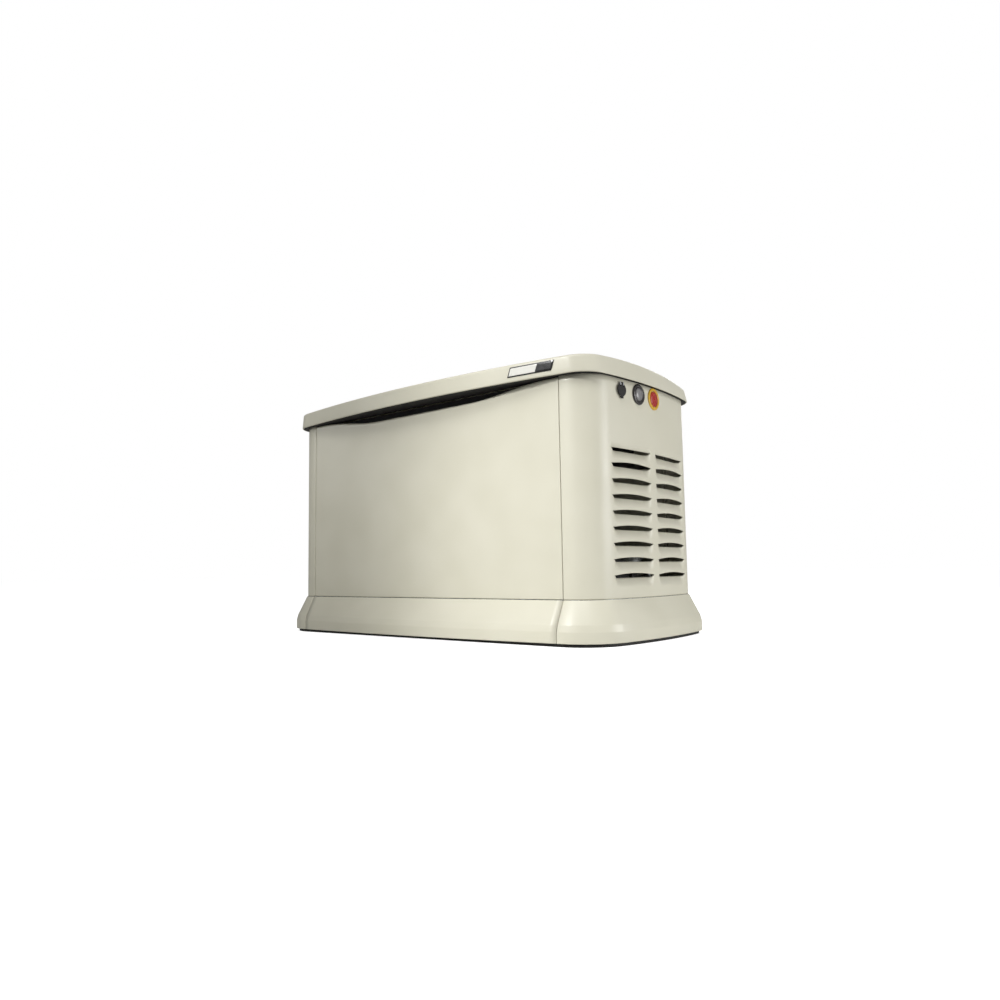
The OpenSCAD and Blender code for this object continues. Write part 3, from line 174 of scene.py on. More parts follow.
def grain(tree, size_mm, detail=2.0, stretch=(1, 1, 1)):
    """Noise whose lumps are size_mm across, drawn out along an axis by a stretch below 1."""
    place = add_node(tree, "ShaderNodeMapping", {"Scale": stretch}, {"Vector": metres(tree)})
    settings = {"Scale": 1000 / size_mm, "Detail": detail}
    return add_node(tree, "ShaderNodeTexNoise", settings, {"Vector": place.outputs[0]}).outputs["Fac"]


def between(tree, fac, low, high):
    """A factor from the span that noise fills, stretched from low to high."""
    settings = {"From Min": NOISE_LOW, "From Max": NOISE_HIGH, "To Min": low, "To Max": high}
    return add_node(tree, "ShaderNodeMapRange", settings, {"Value": fac}).outputs[0]


def tones(tree, fac, dark, light):
    """Two colours, mixed by a factor."""
    ramp = add_node(tree, "ShaderNodeValToRGB", None, {"Fac": fac})
    ramp.color_ramp.elements[0].position = NOISE_LOW
    ramp.color_ramp.elements[1].position = NOISE_HIGH
    ramp.color_ramp.elements[0].color = linear(dark)
    ramp.color_ramp.elements[1].color = linear(light)
    return ramp.outputs["Color"]


def relief(tree, shader, height, depth_mm, strength=1.0, base=None):
    """A bump of a real depth on the shader, over another bump when base is given."""
    links = {"Height": height}
    if base is not None:
        links["Normal"] = base
    bump = add_node(tree, "ShaderNodeBump", {"Distance": depth_mm / 1000, "Strength": strength}, links)
    tree.links.new(bump.outputs[0], shader.inputs["Normal"])
    return bump.outputs[0]


print("white is", [round(c, 2) for c in linear("#ffffff")])

# %% [markdown]
# The enclosure is steel sheet in a bisque polyester powder coat. Powder melts on the hot sheet
# and levels almost flat: what stays is orange peel, soft lumps about 2 mm across and a few
# microns high. It gives a satin gloss whose reflections waver. Flat colour with low roughness
# would look like enamel; the peel is drawn a little deep so that it shows close up.

# %% Powder coat
TONE_PATCH_MM, GLOSS_PATCH_MM = 140, 40
GLOSS_SPREAD = 0.03


def powder_coat(name, dark, light, roughness, peel_mm=2.0, peel_depth_mm=0.012):
    """Powder coat in two near tones of one colour."""
    material, tree, shader = start_material(name, Roughness=roughness, IOR=1.5, Specular_IOR_Level=0.5)
    tree.links.new(tones(tree, grain(tree, TONE_PATCH_MM, 1.0), dark, light), shader.inputs["Base Color"])
    peel = grain(tree, peel_mm, 1.0)
    gloss = between(tree, grain(tree, GLOSS_PATCH_MM), roughness - GLOSS_SPREAD, roughness + GLOSS_SPREAD)
    tree.links.new(gloss, shader.inputs["Roughness"])
    relief(tree, shader, peel, peel_depth_mm, 0.6)
    return material


bisque = powder_coat("bisque_powder_coat", "#d2cfbd", "#d7d4c3", 0.36)
# Black paint is the real finish of the rocker covers, blower housing and starter motor. On the front top rail
# it is painted shade, so that the gap under the lid's brow shows dark.
black_paint_and_gap_shade = powder_coat("black_powder_coat_and_gap_shade", "#161615", "#1d1c1b", 0.42)
print("powder coats:", bisque.name, black_paint_and_gap_shade.name)

# %% [markdown]
# Hinges, locks, catches and the stay are mild steel with a clear zinc plate: a grey metal with
# a faint cold mottle, rolled flat before it was plated. The base tray is hot-dip galvanised
# sheet, whose zinc froze in crystals, the spangle, 6 to 10 mm across and each with its own tone.

# %% Zinc
def zinc_plate(name):
    material, tree, shader = start_material(name, Metallic=1.0)
    tree.links.new(tones(tree, grain(tree, 12), "#9a9c9e", "#b9bbbd"), shader.inputs["Base Color"])
    tree.links.new(between(tree, grain(tree, 5), 0.28, 0.42), shader.inputs["Roughness"])
    relief(tree, shader, grain(tree, 1.2), 0.01, 0.4)
    return material


def galvanised_sheet(name, spangle_mm=8.0):
    material, tree, shader = start_material(name, Metallic=1.0)
    settings = {"Scale": 1000 / spangle_mm, "voronoi_dimensions": "3D"}
    crystals = add_node(tree, "ShaderNodeTexVoronoi", settings, {"Vector": metres(tree)})
    tone = add_node(tree, "ShaderNodeSeparateColor", None, {"Color": crystals.outputs["Color"]}).outputs[0]
    tree.links.new(tones(tree, tone, "#85888b", "#b3b6b8"), shader.inputs["Base Color"])
    tree.links.new(between(tree, tone, 0.3, 0.5), shader.inputs["Roughness"])
    relief(tree, shader, crystals.outputs["Distance"], 0.02, 0.3)
    return material


zinc = zinc_plate("zinc_plated_steel")
galvanised = galvanised_sheet("galvanised_steel_sheet")
print("zinc:", zinc.name, galvanised.name)

# %% [markdown]
# The engine mixes castings. Die-cast aluminium leaves the die with a fine, dull skin. The iron
# of the barrels was poured in sand, so it keeps a grain of about 1 mm. The muffler is steel
# sheet dipped in aluminium, which dulls and yellows where it gets hot. Shafts and gear teeth
# are ground, and the grinding wheel leaves fine rings round them.

# %% Castings and ground steel
LINE_STRETCH = 30


def casting(name, dark, light, grain_mm, depth_mm, rough, metallic=1.0):
    material, tree, shader = start_material(name, Metallic=metallic)
    tree.links.new(tones(tree, grain(tree, 9, 4.0), dark, light), shader.inputs["Base Color"])
    tree.links.new(between(tree, grain(tree, 3), rough - 0.06, rough + 0.08), shader.inputs["Roughness"])
    relief(tree, shader, grain(tree, grain_mm, 3.0), depth_mm, 0.7)
    return material


def ground_steel(name, line_mm=0.8):
    material, tree, shader = start_material(name, Metallic=1.0)
    lines = grain(tree, line_mm * LINE_STRETCH, 2.0, (LINE_STRETCH, 1, 1))
    tree.links.new(tones(tree, lines, "#8f9194", "#bcbec0"), shader.inputs["Base Color"])
    tree.links.new(between(tree, lines, 0.2, 0.34), shader.inputs["Roughness"])
    return material


cast_alloy = casting("die_cast_aluminium", "#a3a5a6", "#c2c4c4", 0.7, 0.04, 0.46)
grey_iron = casting("sand_cast_iron", "#4a4a48", "#63625f", 1.1, 0.12, 0.58, 0.85)
aluminised = casting("aluminised_steel", "#8b8679", "#a9a69d", 2.5, 0.02, 0.44)
ground = ground_steel("ground_steel")
print("engine metals: 4")

# %% [markdown]
# The rotor is a stack of laminations with copper windings under baked varnish. Varnish is a
# clear brown coat over the wire, so the shader has a metal below and a gloss coat above, and
# the turns of 1.2 mm wire show as fine ridges.

# %% Windings
WAVES_PER_SCALE = 20


def windings(name, wire_mm=1.2):
    varnish = dict(Coat_Weight=0.6, Coat_Roughness=0.15)
    material, tree, shader = start_material(name, Metallic=0.7, Roughness=0.4, **varnish)
    tree.links.new(tones(tree, grain(tree, 6), "#5a2e16", "#7d4420"), shader.inputs["Base Color"])
    settings = {"wave_type": "BANDS", "bands_direction": "X", "Distortion": 0.4}
    settings["Scale"] = 1000 / wire_mm / WAVES_PER_SCALE
    wires = add_node(tree, "ShaderNodeTexWave", settings, {"Vector": metres(tree)})
    relief(tree, shader, wires.outputs["Fac"], 0.25, 0.6)
    return material


copper_windings = windings("varnished_copper_windings")
print("windings:", copper_windings.name)

# %% [markdown]
# The rest is moulded. Cases and covers are polypropylene with a spark-eroded texture of about
# half a millimetre; gaskets, caps and hoses are EPDM rubber, which is blacker, rougher and a
# little dusty; the lamp's bezel and the stop button are smooth, glossy PBT.

# %% Plastics and rubber
def moulded(name, dark, light, rough, texture_mm=0.6, depth_mm=0.015, metallic=0.0, coat=0.0):
    facts = dict(Metallic=metallic, IOR=1.49, Coat_Weight=coat, Coat_Roughness=0.08)
    material, tree, shader = start_material(name, **facts)
    tree.links.new(tones(tree, grain(tree, 25, 2.0), dark, light), shader.inputs["Base Color"])
    tree.links.new(between(tree, grain(tree, 8), rough - 0.04, rough + 0.05), shader.inputs["Roughness"])
    relief(tree, shader, grain(tree, texture_mm, 1.0), depth_mm, 0.5)
    return material


black_case = moulded("textured_polypropylene", "#161616", "#1f1f1e", 0.5)
epdm = moulded("epdm_rubber", "#141413", "#211f1e", 0.72, 1.0, 0.03)
polyethylene = moulded("polyethylene_pad", "#1a1918", "#232220", 0.6, 3.0, 0.15)
bezel_gloss = moulded("glossy_pbt_dark", "#2b2826", "#322f2d", 0.24, 0.6, 0.004, coat=0.3)
stop_yellow = moulded("glossy_pbt_yellow", "#d3a62c", "#d9ad33", 0.28, 0.6, 0.004, coat=0.3)
stop_red = moulded("glossy_pbt_red", "#a32419", "#ab2a1f", 0.27, 0.6, 0.004, coat=0.3)
key_green = moulded("key_green", "#2c6b3a", "#327341", 0.4)
key_red = moulded("key_red", "#7d221c", "#852821", 0.4)
key_blue = moulded("key_blue", "#254f80", "#2b578a", 0.4)
filter_enamel = moulded("white_enamel", "#dcdcd6", "#e4e4de", 0.22, 6.0, 0.01, coat=0.4)
badge_black = moulded("badge_black", "#131211", "#191817", 0.3, 0.8, 0.003, coat=0.5)
badge_white = moulded("badge_white", "#dbdad2", "#e3e2db", 0.3, 0.8, 0.003, coat=0.5)
print("moulded finishes: 12")

# %% [markdown]
# The lamp's lens is frosted polycarbonate: light enters, scatters and comes back grey. Real
# glass settings would show the empty housing behind it, so the lens keeps half of its body
# colour and lets the rest through a rough surface.

# %% Frosted lens
def frosted_lens(name, facet_mm=3.0):
    facts = dict(Roughness=0.35, IOR=1.58, Transmission_Weight=0.45, Coat_Weight=0.6, Coat_Roughness=0.05)
    material, tree, shader = start_material(name, **facts)
    tree.links.new(tones(tree, grain(tree, 15), "#8d8b8d", "#a5a3a5"), shader.inputs["Base Color"])
    settings = {"Scale": 1000 / facet_mm}
    prisms = add_node(tree, "ShaderNodeTexVoronoi", settings, {"Vector": metres(tree)})
    relief(tree, shader, prisms.outputs["Distance"], 0.5, 0.5)
    return material


lens = frosted_lens("frosted_polycarbonate")
print("lens:", lens.name)

# %% [markdown]
# The floor is a plain pale sweep, wide enough that its edge is never seen, and the air around
# it is the same white, so nothing but the machine asks for attention. The floor glows, and the
# air is brighter, only where they are seen directly. The machine gets none of that extra light.

# %% Floor and surroundings
FLOOR_HALF = 30.0
FLOOR_PATCH_MM = 300
FLOOR_GLOW = 0.8
AMBIENT, BACKDROP = 0.23, 1.0
WHITE = (1, 1, 1, 1)
floor_material, floor_tree, floor_shader = start_material("pale_floor", Roughness=0.7)
floor_tree.links.new(
    tones(floor_tree, grain(floor_tree, FLOOR_PATCH_MM), "#f0f0ee", "#f2f2f0"),
    floor_shader.inputs["Base Color"])

seen = add_node(floor_tree, "ShaderNodeLightPath")
glow = add_node(
    floor_tree, "ShaderNodeMapRange", {"To Max": FLOOR_GLOW}, {"Value": seen.outputs["Is Camera Ray"]})
floor_tree.links.new(glow.outputs[0], floor_shader.inputs["Emission Strength"])
floor_shader.inputs["Emission Color"].default_value = WHITE

floor_mesh = bpy.data.meshes.new("floor")
floor_signs = ((-1, -1), (1, -1), (1, 1), (-1, 1))
floor_corners = [(x * FLOOR_HALF, y * FLOOR_HALF, 0) for x, y in floor_signs]
floor_mesh.from_pydata(floor_corners, [], [(0, 1, 2, 3)])
floor_mesh.materials.append(floor_material)
floor = bpy.data.objects.new("floor", floor_mesh)
bpy.context.scene.collection.objects.link(floor)

world = bpy.data.worlds.new("studio")
bpy.context.scene.world = world
world.use_nodes = True
ray = add_node(world.node_tree, "ShaderNodeLightPath")
share = add_node(
    world.node_tree, "ShaderNodeMapRange", {"To Min": AMBIENT, "To Max": BACKDROP},
    {"Value": ray.outputs["Is Camera Ray"]})
world.node_tree.nodes["Background"].inputs["Color"].default_value = WHITE
world.node_tree.links.new(share.outputs[0], world.node_tree.nodes["Background"].inputs["Strength"])
print("floor:", 2 * FLOOR_HALF, "m wide")

# %% [markdown]
# The parts that keep their mesh still need edges. Sawn, stamped or moulded, a real edge is
# never sharp, and the thin bright line along it is what makes a machine look made. A bevel
# modifier rounds every sharp edge without touching the mesh below it.

# %% Dress a part that keeps its mesh
SHARP = math.radians(32)
WELD_REACH = 1e-6


def dress(node, material, edge_mm=0.6, segments=2):
    """Gives a mechanical part its finish, joins its split points and rounds its edges."""
    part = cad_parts[node]
    part.data.materials.clear()
    part.data.materials.append(material)
    weld = part.modifiers.new("weld", "WELD")
    weld.merge_threshold = WELD_REACH
    bevel = part.modifiers.new("edges", "BEVEL")
    bevel.width = edge_mm / 1000
    bevel.segments = segments
    bevel.limit_method = "ANGLE"
    bevel.angle_limit = SHARP
    bevel.harden_normals = True
    return part


FINISHES = {
    "foot_pad": (polyethylene, 1.5), "base_tray": (galvanised, 0.5), "rear_panel": (bisque, 0.5),
    # The front top rail's black is painted shade for the gap under the brow.
    "front_top_rail": (black_paint_and_gap_shade, 0.6), "hot_side_divider": (aluminised, 0.4),
    "hinge_fixed_leaves": (zinc, 0.5), "hinge_lid_leaves": (zinc, 0.5), "hinge_pins": (zinc, 0.4),
    "stay_track": (zinc, 0.4), "lid_stay": (zinc, 0.4), "lid_catches": (zinc, 0.4),
    "panel_screws": (zinc, 0.3),
    "lock_bodies": (zinc, 0.3), "lock_cam_right": (zinc, 0.4), "lock_cam_left": (zinc, 0.4),
    "lock_cap_right": (epdm, 1.2), "lock_cap_left": (epdm, 1.2),
    "lamp_bezel": (bezel_gloss, 0.5), "lamp_lens": (lens, 0.4),
    "estop_collar": (stop_yellow, 0.5), "estop_button": (stop_red, 0.8),
    "crankcase": (cast_alloy, 1.2), "cylinders": (grey_iron, 0.3), "cylinder_heads": (cast_alloy, 0.6),
    "rocker_covers": (black_paint_and_gap_shade, 1.5), "blower_housing": (black_paint_and_gap_shade, 0.8),
    "intake_manifold": (cast_alloy, 0.8), "air_cleaner_base": (black_case, 1.0),
    "air_cleaner_cover": (black_case, 1.5), "starter_motor": (black_paint_and_gap_shade, 0.8),
    "oil_filter": (filter_enamel, 1.0),
    "muffler": (aluminised, 0.4), "stator_housing": (cast_alloy, 0.8), "stator_core": (grey_iron, 0.3),
    "bearing_carrier": (cast_alloy, 0.8), "fuel_regulator": (cast_alloy, 1.0), "fuel_hose": (epdm, 0.0),
    "battery": (black_case, 1.5), "wiring_leads": (epdm, 0.0), "controller_housing": (black_case, 1.0),
    "breaker_box": (black_case, 1.0), "isolators": (epdm, 1.0), "lid_gasket": (epdm, 0.6),
    "crankshaft": (ground, 0.5), "flywheel_fan": (cast_alloy, 0.4), "rotor": (copper_windings, 0.5),
    "starter_pinion": (ground, 0.3), "breaker_toggle": (black_case, 0.8),
    "auto_key": (key_green, 0.8), "off_key": (key_red, 0.8), "manual_key": (key_blue, 0.8),
}
for node, (finish, edge) in FINISHES.items():
    dress(node, finish, edge)
print("dressed:", len(FINISHES), "parts")

# %% [markdown]
# Bent sheet is drawn as one surface and then given its thickness by a solidify modifier, as
# the real sheet has one thickness all over. The surface comes from rows of points: a small
# helper joins each row to the next. Rows suit sheet metal, because a press works along lines.

# %% Surfaces from rows of points
CUT_EDGE = math.radians(60)
BEND_SHARP = 50


def mesh_object(name, points, faces, material, body, nodes=()):
    """A new piece from points and faces, riding on a body and standing for some parts."""
    mesh = bpy.data.meshes.new(name)
    mesh.from_pydata(points, [], faces)
    mesh.materials.append(material)
    piece = bpy.data.objects.new(name, mesh)
    bpy.context.scene.collection.objects.link(piece)
    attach(piece, body)
    if nodes:
        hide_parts(*nodes)
    return piece


def row_faces(row_count, length, closed=False, first=0):
    """Quads between neighbouring rows of equal length; closed joins each row's ends."""
    span = length if closed else length - 1
    return [
        (first + i * length + j, first + i * length + (j + 1) % length,
         first + (i + 1) * length + (j + 1) % length, first + (i + 1) * length + j)
        for i in range(row_count - 1) for j in range(span)
    ]


def merge_points(mesh, distance=2e-5):
    """Joins points that meet, so that strips become one sheet."""
    work = bmesh.new()
    work.from_mesh(mesh)
    bmesh.ops.remove_doubles(work, verts=work.verts, dist=distance)
    bmesh.ops.recalc_face_normals(work, faces=work.faces)
    work.to_mesh(mesh)
    work.free()


def thicken(piece, thickness, sharp=40, round_mm=0.0):
    """Sheet thickness behind the outer face, smooth bends, and slightly rounded cut edges."""
    solid = piece.modifiers.new("thickness", "SOLIDIFY")
    solid.thickness = thickness
    solid.offset = -1
    solid.use_even_offset = True
    if round_mm:
        edges = piece.modifiers.new("cut_edges", "BEVEL")
        edges.width = round_mm / 1000
        edges.segments = 2
        edges.limit_method = "ANGLE"
        edges.angle_limit = CUT_EDGE
    piece.data.shade_smooth()
    piece.data.set_sharp_from_angle(angle=math.radians(sharp))
    return piece


def smooth_step(value):
    """0 below 0, 1 above 1, and a soft start and stop between them."""
    value = min(1.0, max(0.0, value))
    return value * value * (3 - 2 * value)


def fillet(corners, radii, steps=5):
    """A line of 2-D corners with each inner corner rounded by its radius."""
    line = [Vector(corners[0])]
    for i in range(1, len(corners) - 1):
        before, corner, after = (Vector(corners[i + k]) for k in (-1, 0, 1))
        back, ahead = (before - corner).normalized(), (after - corner).normalized()
        half = math.acos(max(-1.0, min(1.0, back.dot(ahead)))) / 2
        reach = radii[i - 1] / math.tan(half)
        centre = corner + (back + ahead).normalized() * radii[i - 1] / math.sin(half)
        first, last = corner + back * reach - centre, corner + ahead * reach - centre
        turn = first.angle_signed(last)
        line += [centre + Matrix.Rotation(-turn * k / steps, 2) @ first for k in range(steps + 1)]
    return line + [Vector(corners[-1])]


print("a filleted corner has", len(fillet([(0, 0), (1, 0), (1, 1)], [0.2])), "points")

# %% [markdown]
# All the skin follows one plan: flat long sides, ends bowed to a large radius, and round
# corners between them. Working in distance along the wall, not in x and y, lets a flat
# drawing of louvres wrap round the end, as the press brake does after the louvres are struck.

# %% The wall's plan
END_BOW_R = 1.400
CORNER_R = 0.090
SHEET = 0.002

wall_low, wall_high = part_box("right_end_panel")
HALF_L, HALF_D = wall_high.x, wall_high.y
BASE_Z, TOP_Z = wall_low.z, wall_high.z
SEAM_X = wall_low.x
BOW_X = HALF_L - END_BOW_R
CORNER_Y = HALF_D - CORNER_R
CORNER_X = BOW_X + math.sqrt((END_BOW_R - CORNER_R) ** 2 - CORNER_Y ** 2)
CORNER_TURN = math.atan2(CORNER_Y, CORNER_X - BOW_X)
BOW_RUN = END_BOW_R * CORNER_TURN
CORNER_RUN = CORNER_R * (math.pi / 2 - CORNER_TURN)
EDGE_BEND = 0.0015


def wall_point(run):
    """Place and outward direction at a distance along the end wall, from its middle."""
    side = 1 if run >= 0 else -1
    run = abs(run)
    if run <= BOW_RUN:
        turn = run / END_BOW_R
        place = (BOW_X + END_BOW_R * math.cos(turn), END_BOW_R * math.sin(turn))
    elif run <= BOW_RUN + CORNER_RUN:
        turn = CORNER_TURN + (run - BOW_RUN) / CORNER_R
        place = (CORNER_X + CORNER_R * math.cos(turn), CORNER_Y + CORNER_R * math.sin(turn))
    else:
        turn = math.pi / 2
        place = (CORNER_X - (run - BOW_RUN - CORNER_RUN), HALF_D)
        flat = CORNER_X - SEAM_X - EDGE_BEND
        past = run - BOW_RUN - CORNER_RUN - flat
        if past > 0:
            turn += min(past / EDGE_BEND, math.pi / 2)
            deeper = max(0.0, past - EDGE_BEND * math.pi / 2)
            place = (SEAM_X + EDGE_BEND + EDGE_BEND * math.cos(turn),
                     HALF_D - EDGE_BEND + EDGE_BEND * math.sin(turn) - deeper)
    return Vector((place[0], side * place[1])), Vector((math.cos(turn), side * math.sin(turn)))


RETURN_FLANGE = 0.010
WALL_RUN = BOW_RUN + CORNER_RUN + CORNER_X - SEAM_X - EDGE_BEND + EDGE_BEND * math.pi / 2 + RETURN_FLANGE
print("wall from seam to seam:", round(2 * WALL_RUN, 3), "m; top at", round(TOP_Z, 3), "m")

# %% [markdown]
# A louvre is struck in one blow: the die shears the sheet along a line and pushes one lip of
# the cut inwards, so the sheet below slopes in towards the cut and the ends stay joined by soft
# ramps. Here the shear lifts the outer lip into a shallow arch and sinks the inner lip 13 mm.
# A boolean would leave hard edges. Instead the wall is drawn in strips from cut to cut; where
# there is no cut two strips share their points and merge, and where there is one they part.

# %% The louvres
LOUVRE_ROWS = 9
LOUVRE_PITCH = 0.0402
LOUVRE_TOP = BASE_Z + 0.379
LOUVRE_HALF = 0.091
LOUVRE_MIDDLE = 0.102
LOUVRE_DEPTH = 0.013
LOUVRE_RAMP = 0.030
LIP_RISE = 0.0055
SILL_DROP = 0.0058
SILL_RAMP = 0.014
BLADE_GAP = 0.004
BLADE_HEIGHT = LOUVRE_PITCH - LIP_RISE - SILL_DROP - BLADE_GAP
SOFT_START = 0.18
LOUVRE_STEPS, CORNER_STEPS, BEND_STEPS = 60, 14, 6
TOP_ROWS, BLADE_ROWS, FOOT_ROWS = 12, 14, 18


def along_louvre(run):
    """Distance in from the nearer tip of a louvre, or a negative number outside both banks."""
    return LOUVRE_HALF - abs(abs(run) - LOUVRE_MIDDLE)


def lip_height(run, row):
    """The outer lip: an arch over the tips, and straight on the top row."""
    inside = along_louvre(run)
    if inside <= 0 or row == 0:
        return 0.0
    across = 1 - inside / LOUVRE_HALF
    return LIP_RISE * (1 - across * across)


def sill_depth(run):
    """The inner lip: it drops away from the line of the tips."""
    return SILL_DROP * smooth_step(along_louvre(run) / SILL_RAMP)


def slope_in(share):
    """How far the blade has sunk, from 0 at its foot to 1 at its lip, with a soft bend at the foot."""
    share = min(1.0, max(0.0, share))
    soft = SOFT_START
    return (math.sqrt(share * share + soft * soft) - soft) / (math.sqrt(1 + soft * soft) - soft)


def sink(run, below_lip):
    """Depth of the wall's face at a place on a blade."""
    ramp = smooth_step(along_louvre(run) / LOUVRE_RAMP)
    return LOUVRE_DEPTH * ramp * slope_in(1 - below_lip / BLADE_HEIGHT)


def wall_runs():
    """Distances along the wall: close together across the louvres, wider where it is plain."""
    runs = {0.0}
    for k in range(LOUVRE_STEPS + 1):
        runs.add(LOUVRE_MIDDLE - LOUVRE_HALF + 2 * LOUVRE_HALF * k / LOUVRE_STEPS)
    for k in range(1, CORNER_STEPS + 1):
        runs.add(BOW_RUN + CORNER_RUN * k / CORNER_STEPS)
    flat_end = WALL_RUN - RETURN_FLANGE - EDGE_BEND * math.pi / 2
    for k in range(BEND_STEPS + 1):
        runs.add(flat_end + EDGE_BEND * math.pi / 2 * k / BEND_STEPS)
    runs.update((WALL_RUN, BOW_RUN, flat_end - 0.003, 0.005))
    right = sorted(runs)
    return [-run for run in reversed(right[1:])] + right


def strip(low, high, rows, cut_above):
    """Points of the wall between two heights, each a function of the run."""
    points = []
    for k in range(rows + 1):
        for run in RUNS:
            height = low(run) + (high(run) - low(run)) * k / rows
            place, out = wall_point(run)
            if cut_above is not None:
                place = place - out * sink(run, cut_above(run) - height)
            points.append((place.x, place.y, height))
    return points


RUNS = wall_runs()
CUTS = [LOUVRE_TOP - row * LOUVRE_PITCH for row in range(LOUVRE_ROWS)]


def louvred_wall():
    """All the strips of an end wall, from the top down."""
    points, faces = [], []
    for row in range(LOUVRE_ROWS + 1):
        if row < LOUVRE_ROWS:
            low = lambda run, row=row: CUTS[row] + lip_height(run, row)
        else:
            low = lambda run: BASE_Z
        if row > 0:
            high = lambda run, row=row: CUTS[row - 1] - sill_depth(run)
        else:
            high = lambda run: TOP_Z
        rows = TOP_ROWS if row == 0 else BLADE_ROWS if row < LOUVRE_ROWS else FOOT_ROWS
        faces += row_faces(rows + 1, len(RUNS), first=len(points))
        points += strip(low, high, rows, high if row > 0 else None)
    return points, faces


def end_wall(name, mirrored, body, node):
    points, faces = louvred_wall()
    if mirrored:
        points = [(-x, y, z) for x, y, z in points]
    wall = mesh_object(name, points, faces, bisque, body, (node,))
    merge_points(wall.data)
    thicken(wall, SHEET, BEND_SHARP)
    return wall


right_wall = end_wall("right_louvred_wall", False, "root", "right_end_panel")
end_wall("left_louvred_wall", True, "root", "left_end_panel")
print("louvred walls:", len(right_wall.data.vertices), "points each")

# %% [markdown]
# The front panel is a tray: one sheet with its sides and foot folded in. Its top edge dips in
# the middle to leave room for fingers under the brow, and it rolls inwards there so that it
# doesn't cut them. The fold and the roll are drawn as depth behind the face. Where two of them
# meet at a corner the deeper one counts, or the corner would be pulled out into a spike.

# %% The front panel
door_low, door_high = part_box("front_panel")
DIP_DEPTH = 0.022
DIP_FLAT = 0.190
DIP_END = 0.445
FOLD_BEND = 0.0018
TOP_ROLL = 0.007
FOLD_DEPTH = 0.013
PILLOW = 0.0012
DOOR_COLUMNS, DOOR_ROWS, ROLL_STEPS = 90, 26, 8


def bend_line(radius, flange, steps=6):
    """(distance along the face, depth behind it) from a flange's end round its bend."""
    line = [(0.0, flange)]
    for k in range(steps + 1):
        turn = math.pi / 2 * k / steps
        line.append((radius * (1 - math.cos(turn)), radius * (1 - math.sin(turn))))
    return line


def top_edge(x):
    """Height of the panel's top edge: level in the middle of the dip, rising softly to its ends."""
    return door_high.z - DIP_DEPTH * smooth_step((DIP_END - abs(x)) / (DIP_END - DIP_FLAT))


def front_door():
    side_bend = bend_line(FOLD_BEND, FOLD_DEPTH)
    half = door_high.x
    columns = [(-half + run, depth) for run, depth in side_bend]
    reach = half - FOLD_BEND
    columns += [(-reach + 2 * reach * k / DOOR_COLUMNS, 0.0) for k in range(1, DOOR_COLUMNS)]
    columns += [(half - run, depth) for run, depth in reversed(side_bend)]
    top_bend = list(reversed(bend_line(TOP_ROLL, FOLD_DEPTH, ROLL_STEPS)))
    plan = [("foot", bend) for bend in bend_line(FOLD_BEND, FOLD_DEPTH)]
    plan += [("face", k / DOOR_ROWS) for k in range(1, DOOR_ROWS)]
    plan += [("top", bend) for bend in top_bend]
    points = []
    for kind, value in plan:
        for x, side_depth in columns:
            low, high = door_low.z, top_edge(x)
            depth = side_depth
            if kind == "foot":
                height, depth = low + value[0], max(depth, value[1])
            elif kind == "top":
                height, depth = high - value[0], max(depth, value[1])
            else:
                height = low + FOLD_BEND + (high - TOP_ROLL - low - FOLD_BEND) * value
            swell = PILLOW * (1 - (x / half) ** 2)
            points.append((x, door_low.y - swell + depth, height))
    return points, row_faces(len(plan), len(columns))


door_points, door_faces = front_door()
door = mesh_object(
    "front_panel_sheet", door_points, door_faces, bisque, "front_panel", ("front_panel",))
merge_points(door.data)
thicken(door, SHEET, BEND_SHARP)
print("front panel faces outward:", sum(f.normal.y * f.area for f in door.data.polygons) < 0)
print("front panel:", len(door_points), "points")

# %% [markdown]
# The lid is one moulded shell: a crowned top that falls to the front and the ends, a tight
# edge, and an upright rim whose foot is rolled so that it catches the light. Its front edge
# sweeps out in a long arc, the brow. Rings of points follow that outline inwards and upwards.

# %% The lid
lid_low, lid_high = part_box("lid")
LID_OVER = 0.0125
BROW = -lid_low.y - HALF_D
BROW_R = 4.000
LID_CORNER_R = 0.080
LID_HEIGHT = 0.060
FALL_FRONT, FALL_END = 0.012, 0.006
CROWN_LEAD = 0.060
LID_EDGE_R = 0.007
LID_FOOT_R = 0.003
LID_SKIN = 0.003
LEAN, LEAN_START, LID_HALF = 0.018, 0.44, lid_high.x
BROW_STEPS, LID_CORNER_STEPS, LID_END_STEPS, REAR_STEPS = 26, 20, 24, 14
LID_FOOT_STEPS, LID_EDGE_STEPS = 4, 8
RIM_SHARES = (0.33, 0.66)
TOP_SCALES = (0.985, 0.94, 0.86, 0.76, 0.64, 0.5, 0.36, 0.22, 0.1)
LID_REAR = lid_high.y
LID_END_R = END_BOW_R + LID_OVER
BROW_CENTRE_Y = BROW_R - HALF_D - BROW


def corner_between(circle_a, circle_b, radius):
    """Centre of a corner arc that touches two larger arcs from inside: (centre, radius) each."""
    (a, ra), (b, rb) = circle_a, circle_b
    ra, rb = ra - radius, rb - radius
    line = b - a
    reach = line.length
    along = (reach * reach + ra * ra - rb * rb) / (2 * reach)
    off = math.sqrt(ra * ra - along * along)
    unit = line / reach
    return a + unit * along - Vector((unit.y, -unit.x)) * off


front_corner = corner_between(
    (Vector((0, BROW_CENTRE_Y)), BROW_R), (Vector((BOW_X, 0)), LID_END_R), LID_CORNER_R)
rear_corner_y = LID_REAR - LID_CORNER_R
rear_corner = Vector((BOW_X + math.sqrt((LID_END_R - LID_CORNER_R) ** 2 - rear_corner_y ** 2), rear_corner_y))
BROW_TURN = math.atan2(front_corner.x, BROW_CENTRE_Y - front_corner.y)
FRONT_TURN = math.atan2(front_corner.y, front_corner.x - BOW_X)
REAR_TURN = math.atan2(rear_corner.y, rear_corner.x - BOW_X)


